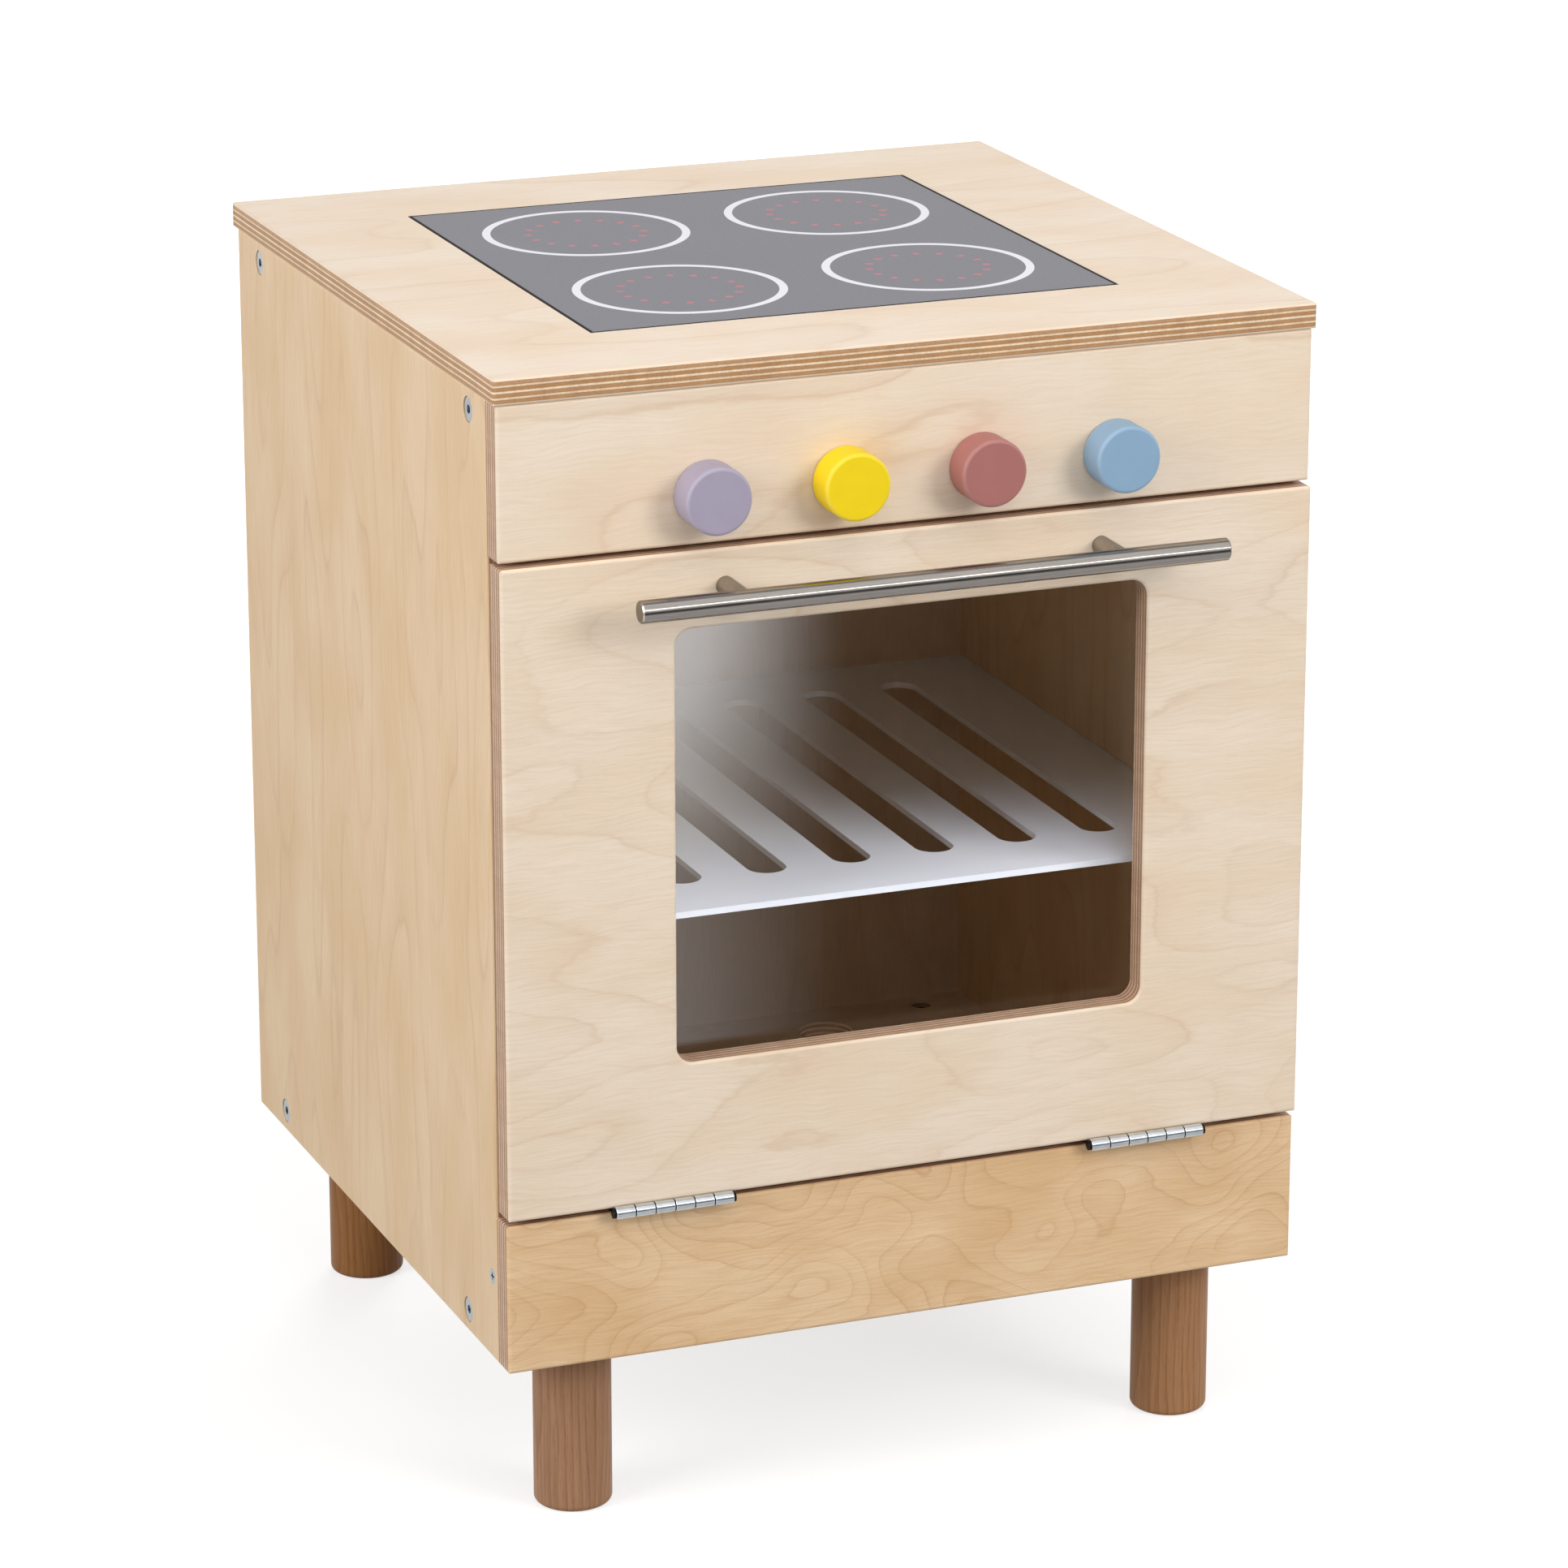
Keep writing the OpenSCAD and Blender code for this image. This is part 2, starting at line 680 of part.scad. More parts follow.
module front_left_leg() { leg(-leg_x, leg_y[0]); }
module front_right_leg() { leg(leg_x, leg_y[0]); }
module rear_left_leg() { leg(-leg_x, leg_y[1]); }
module rear_right_leg() { leg(leg_x, leg_y[1]); }

module leg_bolts() {
    head_z1 = floor_z1 - leg_head_sink;
    color(black) at_legs() difference() {
        union() {
            translate([0, 0, head_z1 - leg_head_t]) cylinder(d = leg_head_d, h = leg_head_t);
            translate([0, 0, head_z1 - leg_head_t - leg_bolt_len])
                cylinder(d = leg_bolt_d, h = leg_bolt_len + leg_head_t / 2);
        }
        translate([0, 0, head_z1 - leg_hex_depth])
            cylinder(d = hex_af / cos(30), h = leg_hex_depth + through, $fn = 6);
    }
}

module leg_inserts() {
    color(zinc) at_legs() translate([0, 0, leg_len - insert_len]) difference() {
        cylinder(d = insert_d, h = insert_len);
        translate([0, 0, -through]) cylinder(d = leg_bolt_d + 2 * fit, h = insert_len + 2 * through);
    }
}

// ---- Fasteners of the cabinet

module side_bolts() {
    color(zinc) for (side = [-1, 1], yz = bolt_yz)
        at_side(side, yz, bolt_sink) connector_bolt(bolt_end - bolt_sink);
}

module barrel_nuts() {
    color(zinc) for (side = [-1, 1]) {
        for (yz = top_bolt_yz) barrel_nut(side, yz, rail_t);
        for (yz = floor_bolt_yz) barrel_nut(side, yz, floor_t);
    }
}

// Barrel nut with its cross hole
module barrel_nut(side, yz, board_t) {
    difference() {
        at_barrel_nut(side, yz, board_t) translate([0, 0, barrel_nut_margin])
            cylinder(d = barrel_nut_d, h = board_t - 2 * barrel_nut_margin);
        at_side(side, yz) cylinder(d = bolt_d + 2 * fit, h = bolt_end + barrel_nut_d);
    }
}

module worktop_screws() {
    color(zinc) at_worktop_screws() wood_screw(screw_d, screw_head_d, worktop_screw_len);
}

module back_panel_screws() {
    color(zinc) at_back_screws() wood_screw(screw_d, screw_head_d, back_screw_len);
}

module kick_rail_screws() {
    color(zinc) for (side = [-1, 1]) at_side(side, [kick_rail_y, kick_rail_mid_z])
        wood_screw(screw_d, screw_head_d, kick_rail_screw_len);
}

module kick_panel_screws() {
    color(zinc) at_kick_screws() wood_screw(screw_d, screw_head_d, kick_screw_len);
}

module fascia_dowels() { color(dowel_wood) at_dowels(fascia_dowel_z) dowel(); }
module kick_dowels() { color(dowel_wood) at_dowels(kick_dowel_z) dowel(); }

// ---- Catch, bumpers and washers

// The child at each screw of the catch, pointing right from its inner face
module at_catch_screws() {
    for (z = [-catch_screw_z, catch_screw_z])
        translate([catch_x0, catch_y0 + catch_size.y / 2, catch_z + z]) rotate([0, 90, 0]) children();
}

module catch_housing() {
    color(shelf_white) difference() {
        block([catch_x0, catch_y0, catch_z - catch_size.z / 2],
              [in_x, catch_y0 + catch_size.y, catch_z + catch_size.z / 2]);
        translate([catch_x, 0, catch_z])
            block([-magnet_size.x / 2 - fit, catch_y0 - through, -magnet_size.z / 2 - fit],
                  [magnet_size.x / 2 + fit, magnet_y0 + magnet_size.y, magnet_size.z / 2 + fit]);
        at_catch_screws() countersunk(catch_screw_d, 2 * catch_screw_d, catch_size.x + through, fit);
    }
}

module catch_magnet() {
    color(black) translate([catch_x, magnet_y0, catch_z])
        block([-magnet_size.x / 2, 0, -magnet_size.z / 2],
              [magnet_size.x / 2, magnet_size.y, magnet_size.z / 2]);
}

module catch_screws() {
    color(zinc) at_catch_screws() wood_screw(catch_screw_d, 2 * catch_screw_d, catch_screw_len);
}

module door_bumpers() {
    color(black) for (x = [-dowel_x, dowel_x])
        translate([x, door_y1, catch_z]) rotate([-90, 0, 0]) cylinder(d = bumper_d, h = bumper_t);
}

module knob_washers() {
    color(black) for (x = knob_x) translate([x, knob_y1, knob_z]) rotate([-90, 0, 0]) difference() {
        cylinder(d = washer_d, h = washer_t);
        translate([0, 0, -through]) cylinder(d = knob_bolt_d + 2 * fit, h = washer_t + 2 * through);
    }
}

// ---- Hinges

// One leaf: up = 1 is the door's, -1 the kick panel's; each has every other knuckle
module hinge_leaf(side, up) {
    x0 = side * hinge_x - hinge_len / 2;
    plate_z0 = up > 0 ? door_z0 - leaf_t : kick_z1;
    color(zinc) difference() {
        union() {
            block([x0, leaf_y0, plate_z0], [x0 + hinge_len, leaf_y0 + leaf_d, plate_z0 + leaf_t]);
            for (i = [up > 0 ? 1 : 0 : 2 : knuckle_count - 1]) {
                knuckle_x0 = x0 + i * knuckle_w + knuckle_gap / 2;
                translate([knuckle_x0, hinge_y, hinge_z]) rotate([0, 90, 0])
                    cylinder(d = barrel_d, h = knuckle_w - knuckle_gap);
                block([knuckle_x0, hinge_y, plate_z0],
                      [knuckle_x0 + knuckle_w - knuckle_gap, leaf_y0 + leaf_t, plate_z0 + leaf_t]);
            }
        }
        translate([x0 - through, hinge_y, hinge_z]) rotate([0, 90, 0])
            cylinder(d = pin_d + 2 * fit, h = hinge_len + 2 * through);
        at_leaf_screws(up) countersunk(leaf_screw_d, leaf_screw_head_d, leaf_screw_len, fit);
    }
}

// Pin with a small dark cap at each end
module hinge_pin(side) {
    x0 = side * hinge_x - hinge_len / 2;
    color(black) translate([x0, hinge_y, hinge_z]) rotate([0, 90, 0]) {
        translate([0, 0, -pin_cap_t]) cylinder(d = pin_d, h = hinge_len + 2 * pin_cap_t);
        translate([0, 0, -pin_cap_t]) cylinder(d = pin_cap_d, h = pin_cap_t);
        translate([0, 0, hinge_len]) cylinder(d = pin_cap_d, h = pin_cap_t);
    }
}

module leaf_screws(up) {
    color(zinc) at_leaf_screws(up) wood_screw(leaf_screw_d, leaf_screw_head_d, leaf_screw_len);
}

module left_hinge_kick_leaf() { hinge_leaf(-1, -1); }
module right_hinge_kick_leaf() { hinge_leaf(1, -1); }
module left_hinge_door_leaf() { hinge_leaf(-1, 1); }
module right_hinge_door_leaf() { hinge_leaf(1, 1); }
module left_hinge_pin() { hinge_pin(-1); }
module right_hinge_pin() { hinge_pin(1); }
module kick_leaf_screws() { leaf_screws(-1); }
module door_leaf_screws() { leaf_screws(1); }

// ---- Door

// Upright slab with round corners behind the window, from y0 to y1
module window_slab(w, h, r, y0, y1) {
    translate([-w / 2, y1, window_z - h / 2]) rotate([90, 0, 0])
        linear_extrude(y1 - y0) rounded_rect(w, h, r);
}

// What a rounded front edge of the window takes away: a cove along each side of the window
// and one round each corner, both from the same profile
module window_edge() {
    half_w = window_w / 2;
    half_h = window_h / 2;
    translate([0, door_y0, window_z]) rotate([90, 0, 0]) {
        for (turn = [0, 180]) rotate([0, 0, turn]) {
            translate([half_w, half_h - window_r, 0]) rotate([90, 0, 0])
                linear_extrude(2 * (half_h - window_r)) edge_cove();
            translate([window_r - half_w, half_h, 0]) rotate([90, 0, 90])
                linear_extrude(2 * (half_w - window_r)) edge_cove();
        }
        for (x = [window_r - half_w, half_w - window_r], y = [window_r - half_h, half_h - window_r])
            translate([x, y, 0]) rotate_extrude() translate([window_r, 0]) edge_cove();
    }
}

// Section of that cove: the corner of a square outside a quarter circle, with a little to spare
module edge_cove() {
    difference() {
        translate([-through / 2, -edge_round]) square([edge_round + through / 2, edge_round + through]);
        translate([edge_round, -edge_round]) circle(r = edge_round);
    }
}

module door_panel() {
    color(birch) difference() {
        board([-body_x, door_y0, door_z0], [body_x, door_y1, door_z1]);
        window_slab(window_w, window_h, window_r, door_y0 - through, door_y1 + through);
        window_slab(window_w + 2 * pane_lap, window_h + 2 * pane_lap, window_r,
                    door_y1 - pane_t, door_y1 + through);
        at_pane_screws() cylinder(d = pane_screw_d + 2 * fit, h = pane_screw_len + fit);
        at_posts() translate([0, door_y0 - through, 0]) rotate([-90, 0, 0])
            cylinder(d = handle_screw_d + 2 * fit, h = door_t + 2 * through);
        at_leaf_screws(1) cylinder(d = leaf_screw_d + 2 * fit, h = leaf_screw_len + fit);
        at_strike_screws() cylinder(d = catch_screw_d + 2 * fit, h = strike_screw_len + fit);
        window_edge();
    }
}

module window_pane() {
    color(clear_pane) difference() {
        window_slab(pane_w, pane_h, window_r - pane_clear, door_y1 - pane_t, door_y1);
        at_pane_screws() translate([0, 0, -through])
            cylinder(d = pane_screw_d + 2 * fit, h = pane_t + 2 * through);
    }
}

module pane_screws() {
    color(zinc) at_pane_screws() difference() {
        union() {
            translate([0, 0, -pane_screw_head_t]) cylinder(d = pane_screw_head_d, h = pane_screw_head_t);
            cylinder(d = pane_screw_d, h = pane_screw_len);
        }
        translate([0, 0, -pane_screw_head_t]) cross_recess(pane_screw_head_d / 2);
    }
}

module handle_bar() {
    color(steel) translate([-bar_len / 2, bar_y, bar_z]) rotate([0, 90, 0]) {
        translate([0, 0, bar_chamfer]) cylinder(d = bar_d, h = bar_len - 2 * bar_chamfer);
        cylinder(d1 = bar_d - 2 * bar_chamfer, d2 = bar_d, h = bar_chamfer);
        translate([0, 0, bar_len - bar_chamfer])
            cylinder(d1 = bar_d, d2 = bar_d - 2 * bar_chamfer, h = bar_chamfer);
    }
}

module handle_posts() {
    color(steel) difference() {
        at_posts() translate([0, bar_y, 0]) rotate([-90, 0, 0]) cylinder(d = post_d, h = bar_standoff);
        translate([-bar_len / 2, bar_y, bar_z]) rotate([0, 90, 0])
            cylinder(d = bar_d + 2 * fit, h = bar_len);
        at_posts() translate([0, door_y0 - handle_screw_in_post - fit, 0]) rotate([-90, 0, 0])
            cylinder(d = handle_screw_d + 2 * fit, h = handle_screw_in_post + through);
    }
}

module handle_screws() {
    color(zinc) at_posts() translate([0, door_y1 + handle_screw_head_t, 0]) rotate([90, 0, 0])
        difference() {
            union() {
                cylinder(d = handle_screw_head_d, h = handle_screw_head_t);
                cylinder(d = handle_screw_d, h = handle_screw_head_t + door_t + handle_screw_in_post);
            }
            cross_recess(handle_screw_head_d / 2);
        }
}

// The child at each screw of the strike plate, pointing to the front
module at_strike_screws() {
    reach = strike_size.z / 2 - strike_screw_edge;
    for (z = [-reach, reach]) translate([catch_x, door_y1 + strike_t, catch_z + z])
        rotate([90, 0, 0]) children();
}

module strike_plate() {
    color(steel) difference() {
        block([catch_x - strike_size.x / 2, door_y1, catch_z - strike_size.z / 2],
              [catch_x + strike_size.x / 2, door_y1 + strike_t, catch_z + strike_size.z / 2]);
        at_strike_screws() countersunk(catch_screw_d, strike_screw_head_d, door_t, fit);
    }
}

module strike_screws() {
    color(zinc) at_strike_screws()
        wood_screw(catch_screw_d, strike_screw_head_d, strike_screw_len);
}

// ---- Knobs

// Turned knob with a rounded front edge, drilled from behind for its bolt
module knob(i, tint) {
    color(tint) translate([knob_x[i], knob_y1, knob_z]) rotate([90, 0, 0]) difference() {
        rotate_extrude() {
            square([knob_d / 2 - knob_round, knob_len]);
            square([knob_d / 2, knob_len - knob_round]);
            translate([knob_d / 2 - knob_round, knob_len - knob_round]) intersection() {
                circle(r = knob_round);
                square(knob_round);
            }
        }
        translate([0, 0, -through])
            cylinder(d = knob_bolt_d + 2 * fit, h = knob_bolt_in_knob + through + fit);
    }
}

// Headless bolt that is glued into the knob and turns in the control panel
module knob_bolt(i) {
    color(zinc) translate([knob_x[i], knob_y1 - knob_bolt_in_knob, knob_z]) rotate([-90, 0, 0])
        cylinder(d = knob_bolt_d,
                 h = knob_bolt_in_knob + washer_t + front_t + nut_gap + nut_len + bolt_past_lock_nut);
}

// Flanged lock nut behind the control panel
module knob_nut(i) {
    color(zinc) translate([knob_x[i], side_y0 + nut_gap, knob_z]) rotate([-90, 0, 0]) difference() {
        union() {
            cylinder(d = nut_flange_d, h = nut_flange_t);
            cylinder(d = nut_af / cos(30), h = nut_len, $fn = 6);
        }
        translate([0, 0, -through]) cylinder(d = knob_bolt_d + 2 * fit, h = nut_len + 2 * through);
    }
}

module lilac_knob() { knob(0, lilac); }
module yellow_knob() { knob(1, yellow); }
module rose_knob() { knob(2, rose); }
module blue_knob() { knob(3, blue); }
module lilac_knob_bolt() { knob_bolt(0); }
module yellow_knob_bolt() { knob_bolt(1); }
module rose_knob_bolt() { knob_bolt(2); }
module blue_knob_bolt() { knob_bolt(3); }
module lilac_knob_nut() { knob_nut(0); }
module yellow_knob_nut() { knob_nut(1); }
module rose_knob_nut() { knob_nut(2); }
module blue_knob_nut() { knob_nut(3); }

worktop();
hob_panel();
left_side_panel();
right_side_panel();
back_panel();
floor_panel();
front_top_rail();
rear_top_rail();
control_panel();
kick_panel();
kick_rail();
oven_shelf();
front_left_leg();
front_right_leg();
rear_left_leg();
rear_right_leg();
leg_bolts();
leg_inserts();
side_bolts();
barrel_nuts();
worktop_screws();
back_panel_screws();
kick_rail_screws();
kick_panel_screws();
fascia_dowels();
kick_dowels();
catch_housing();
catch_magnet();
catch_screws();
door_bumpers();
knob_washers();
left_hinge_kick_leaf();
right_hinge_kick_leaf();
left_hinge_pin();
right_hinge_pin();
kick_leaf_screws();
door_panel();
window_pane();
pane_screws();
handle_bar();
handle_posts();
handle_screws();
strike_plate();
strike_screws();
left_hinge_door_leaf();
right_hinge_door_leaf();
door_leaf_screws();
lilac_knob();
yellow_knob();
rose_knob();
blue_knob();
lilac_knob_bolt();
yellow_knob_bolt();
rose_knob_bolt();
blue_knob_bolt();
lilac_knob_nut();
yellow_knob_nut();
rose_knob_nut();
blue_knob_nut();
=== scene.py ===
# %% [markdown]
# # A toy oven in birch plywood
#
# The real object is a small cabinet of lacquered birch plywood on four stained beech legs. A
# drop-down door with a clear window closes the oven, four painted knobs turn on the control
# panel, and a printed hob lies flush in the worktop.
#
# The construction arrives as a imported model: every board, bolt and hinge is already there at
# its real size. This lesson dresses it. Boards keep their imported shape and get a wood that is
# computed all through the board, so that faces and sawn edges agree. The hinge leaves are
# modelled again with the soft edges that real stamping leaves.

import math

import bmesh
import bpy
from mathutils import Matrix, Vector


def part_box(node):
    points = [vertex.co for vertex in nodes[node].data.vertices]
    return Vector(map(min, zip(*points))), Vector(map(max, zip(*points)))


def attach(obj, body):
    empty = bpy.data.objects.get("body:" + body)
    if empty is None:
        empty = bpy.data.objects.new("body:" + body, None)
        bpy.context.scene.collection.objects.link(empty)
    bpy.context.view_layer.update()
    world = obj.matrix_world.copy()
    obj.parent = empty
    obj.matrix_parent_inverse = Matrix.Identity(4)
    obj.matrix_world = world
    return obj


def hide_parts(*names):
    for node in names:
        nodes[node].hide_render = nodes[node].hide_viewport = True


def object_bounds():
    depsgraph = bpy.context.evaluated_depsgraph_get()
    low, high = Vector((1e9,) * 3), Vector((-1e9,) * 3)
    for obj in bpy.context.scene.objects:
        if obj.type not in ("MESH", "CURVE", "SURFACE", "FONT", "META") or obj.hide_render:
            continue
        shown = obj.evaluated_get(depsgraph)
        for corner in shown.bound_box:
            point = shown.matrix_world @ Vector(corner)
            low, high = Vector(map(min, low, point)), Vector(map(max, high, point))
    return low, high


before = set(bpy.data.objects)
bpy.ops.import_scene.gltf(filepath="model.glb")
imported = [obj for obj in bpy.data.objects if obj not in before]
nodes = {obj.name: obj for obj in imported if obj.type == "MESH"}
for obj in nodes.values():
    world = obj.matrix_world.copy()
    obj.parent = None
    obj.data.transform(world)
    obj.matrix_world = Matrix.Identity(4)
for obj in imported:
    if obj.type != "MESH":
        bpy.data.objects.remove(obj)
cad_low, cad_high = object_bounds()
MM = 0.001
packed_size = [round(v / MM, 1) for v in cad_high - cad_low]
print("packed model:", len(nodes), "nodes, box in mm", packed_size)

# %% [markdown]
# ## Camera
#
# The photograph was taken from the left, a little above the worktop, with a long lens. Its
# uprights are parallel, as a view camera draws them. A camera without shift can't do that, so
# this one is the best fit to the corners of the cabinet, and the uprights converge a little.

# %% The camera
camera_data = bpy.data.cameras.new("photo_camera")
camera_data.lens = 145.5
camera_data.clip_end = 60
camera = bpy.data.objects.new("photo_camera", camera_data)
camera.location = (-1.0732, -2.7238, 1.2208)
camera.rotation_euler = (math.radians(72.43), 0, math.radians(-21.64))
scene = bpy.context.scene
scene.collection.objects.link(camera)
scene.camera = camera
scene.view_settings.view_transform = "Standard"
print("camera", round(camera.location.length, 2), "m from the middle of the floor")

# %% [markdown]
# ## Wiring nodes from code
#
# A material is a small circuit of nodes. Clicking it together by hand suits one material; a
# family of related woods is easier to keep in step when code draws the circuit. `Wiring` adds
# nodes to one tree, and each input takes either a plain value or another node's output.

# %% A helper that adds and joins nodes
class Wiring:
    """Adds nodes to one node tree; a value may be a number, a colour or an output socket."""

    def __init__(self, tree):
        self.tree = tree

    def node(self, kind, **settings):
        made = self.tree.nodes.new(kind)
        for name, value in settings.items():
            setattr(made, name, value)
        return made

    def feed(self, socket, value):
        if isinstance(value, bpy.types.NodeSocket):
            self.tree.links.new(value, socket)
        else:
            socket.default_value = value

    def maths(self, operation, *values):
        made = self.node("ShaderNodeMath", operation=operation)
        for socket, value in zip(made.inputs, values):
            self.feed(socket, value)
        return made.outputs[0]

    def total(self, first, *others):
        for other in others:
            first = self.maths("ADD", first, other)
        return first

    def times(self, *values):
        product = values[0]
        for value in values[1:]:
            product = self.maths("MULTIPLY", product, value)
        return product

    def step(self, value, low, high, start=0.0, end=1.0):
        """A soft step: start below low, end above high."""
        made = self.node("ShaderNodeMapRange", interpolation_type="SMOOTHSTEP")
        for name, number in (("Value", value), ("From Min", low), ("From Max", high),
                             ("To Min", start), ("To Max", end)):
            self.feed(made.inputs[name], number)
        return made.outputs[0]

    def mix(self, share, low, high):
        made = self.node("ShaderNodeMix", data_type="RGBA")
        for index, value in ((0, share), (6, low), (7, high)):
            self.feed(made.inputs[index], value)
        return made.outputs[2]

    def vector(self, x=0.0, y=0.0, z=0.0):
        made = self.node("ShaderNodeCombineXYZ")
        for socket, value in zip(made.inputs, (x, y, z)):
            self.feed(socket, value)
        return made.outputs[0]

    def stretch(self, vector, x, y, z):
        made = self.node("ShaderNodeVectorMath", operation="MULTIPLY")
        self.feed(made.inputs[0], vector)
        self.feed(made.inputs[1], (x, y, z))
        return made.outputs[0]

    def split(self, vector):
        made = self.node("ShaderNodeSeparateXYZ")
        self.feed(made.inputs[0], vector)
        return dict(zip("xyz", made.outputs))

    def noise(self, vector, detail=2.0, roughness=0.5):
        made = self.node("ShaderNodeTexNoise")
        for name, value in (("Vector", vector), ("Scale", 1.0), ("Detail", detail),
                            ("Roughness", roughness)):
            self.feed(made.inputs[name], value)
        return made.outputs[0]

    def place(self, group, **values):
        """Places a node group; its inputs are given by name, with _ for a space."""
        made = self.node("ShaderNodeGroup", node_tree=group)
        for name, value in values.items():
            self.feed(made.inputs[name.replace("_", " ")], value)
        return made.outputs


def new_group(name, inputs, outputs):
    """An empty node group: inputs are (name, type, value), outputs are (name, type)."""
    tree = bpy.data.node_groups.new(name, "ShaderNodeTree")
    for label, kind, value in inputs:
        socket = tree.interface.new_socket(label, in_out="INPUT", socket_type="NodeSocket" + kind)
        socket.default_value = value
    for label, kind in outputs:
        tree.interface.new_socket(label, in_out="OUTPUT", socket_type="NodeSocket" + kind)
    wiring = Wiring(tree)
    entry = wiring.node("NodeGroupInput").outputs
    leave = wiring.node("NodeGroupOutput").inputs
    return tree, wiring, entry, leave


def colour(red, green, blue):
    """A colour as the eye reads it on a screen, 0 to 255, made linear for the shader."""
    def linear(value):
        value /= 255
        return value / 12.92 if value <= 0.04045 else ((value + 0.055) / 1.055) ** 2.4
    return (linear(red), linear(green), linear(blue), 1.0)


print("birch as written", [round(c, 3) for c in colour(240, 222, 200)[:3]])

# %% [markdown]
# ## Light and floor
#
# Plain studio light: an even white surround, a soft key lamp low on the right, a fill on the
# left, one overhead in front and one behind. The key's place was read from the shadows: the
# handle's shadow on the door lies a little to the left of it and a little lower. The levels
# are low enough that a colour renders about as it is written. The paper floor and the surround
# are a little brighter for rays that come from the camera or off metal and glass, which gives
# a white background without putting any extra light on the object. The floor keeps a soft
# shadow.

# %% The surround and the lamps
def light_path(wiring):
    return wiring.node("ShaderNodeLightPath").outputs


def seen_directly(wiring):
    """1 for rays from the camera, off metal or through glass, 0 for rays that carry light."""
    rays = light_path(wiring)
    return wiring.maths("MAXIMUM", rays["Is Camera Ray"], wiring.maths(
        "MAXIMUM", rays["Is Glossy Ray"], rays["Is Transmission Ray"]))


def build_surround(ambient):
    world = bpy.data.worlds.new("studio")
    scene.world = world
    world.use_nodes = True
    world.node_tree.nodes.clear()
    wiring = Wiring(world.node_tree)
    background = wiring.node("ShaderNodeBackground")
    wiring.feed(background.inputs["Color"], (1, 1, 1, 1))
    wiring.feed(background.inputs["Strength"], wiring.step(seen_directly(wiring), 0, 1, ambient, 1))
    output = wiring.node("ShaderNodeOutputWorld")
    wiring.feed(output.inputs["Surface"], background.outputs[0])


def add_lamp(name, position, aim, size, power):
    """A square soft lamp that looks at a point."""
    data = bpy.data.lights.new(name, "AREA")
    data.shape = "SQUARE"
    data.size = size
    data.energy = power
    lamp = bpy.data.objects.new(name, data)
    lamp.location = position
    lamp.rotation_euler = (Vector(aim) - Vector(position)).to_track_quat("-Z", "Y").to_euler()
    lamp.visible_camera = False
    scene.collection.objects.link(lamp)
    return lamp


middle = (0, 0, 0.3)
build_surround(ambient=0.24)
add_lamp("fill_lamp", (-2.65, -0.7, 1.5), middle, size=1.6, power=51)
for name, position, size, power in (("key_lamp", (2.1, -3.0, 1.85), 1.6, 63),
                                    ("overhead_lamp", (0.0, -1.3, 2.1), 1.8, 15.5),
                                    ("back_lamp", (1.4, 2.6, 1.5), 1.6, 48)):
    add_lamp(name, position, middle, size, power).visible_glossy = False
print("studio:", len(bpy.data.lights), "lamps")

# %% [markdown]
# The floor is a disc of matt paper. Its lift, the part that only direct sight gets, grows
# with the distance from the object, because the lamps light the far paper less.

# %% The paper floor
def flat_stage(name, corners, strength_of, paper=None, see_through=False):
    """A flat stage piece: strength_of(wiring, position in metres) gives its own light."""
    mesh = bpy.data.meshes.new(name)
    mesh.from_pydata(corners, [], [tuple(range(len(corners)))])
    card = bpy.data.objects.new(name, mesh)
    scene.collection.objects.link(card)
    material = bpy.data.materials.new(name)
    material.use_nodes = True
    material.node_tree.nodes.clear()
    wiring = Wiring(material.node_tree)
    place = wiring.node("ShaderNodeTexCoord").outputs["Object"]
    light = wiring.node("ShaderNodeEmission")
    wiring.feed(light.inputs["Strength"], strength_of(wiring, place))
    surface = light.outputs[0]
    under = []
    if paper is not None:
        matt = wiring.node("ShaderNodeBsdfDiffuse")
        wiring.feed(matt.inputs["Color"], paper)
        under.append(matt)
    if see_through:
        under.append(wiring.node("ShaderNodeBsdfTransparent"))
    for shader in under:
        both = wiring.node("ShaderNodeAddShader")
        wiring.feed(both.inputs[0], shader.outputs[0])
        wiring.feed(both.inputs[1], surface)
        surface = both.outputs[0]
    output = wiring.node("ShaderNodeOutputMaterial")
    wiring.feed(output.inputs["Surface"], surface)
    mesh.materials.append(material)
    return card


def floor_lift(wiring, place):
    length = wiring.node("ShaderNodeVectorMath", operation="LENGTH")
    wiring.feed(length.inputs[0], place)
    lift = wiring.step(length.outputs["Value"], 0.3, 2.0, 0.7, 0.95)
    return wiring.times(seen_directly(wiring), lift)


FLOOR_RADIUS, FLOOR_SIDES = 12, 96
PAPER_GREY = (0.42, 0.42, 0.42, 1)
disc = []
for number in range(FLOOR_SIDES):
    turn = number * math.pi / (FLOOR_SIDES / 2)
    disc.append((FLOOR_RADIUS * math.cos(turn), FLOOR_RADIUS * math.sin(turn), 0))
flat_stage("paper_floor", disc, floor_lift, paper=PAPER_GREY)
print("floor: a disc of", len(disc), "sides")

# %% [markdown]
# ## Cards for the reflections
#
# Metal and clear sheet show their surroundings more than themselves. A photographer sets
# cards round them: dark ones, so that steel gets its crisp dark lines and glass its depth,
# and white ones where a highlight belongs. These cards are seen only in reflections: they
# cast no shadow, and neither the camera nor the light meets them. Light linking says which
# objects a card or a lamp gives its light to.

# %% What a card is seen by
def reflection_only(card, through_glass=False):
    card.visible_camera = False
    card.visible_diffuse = False
    card.visible_transmission = through_glass
    card.visible_volume_scatter = False
    card.visible_shadow = False
    return card


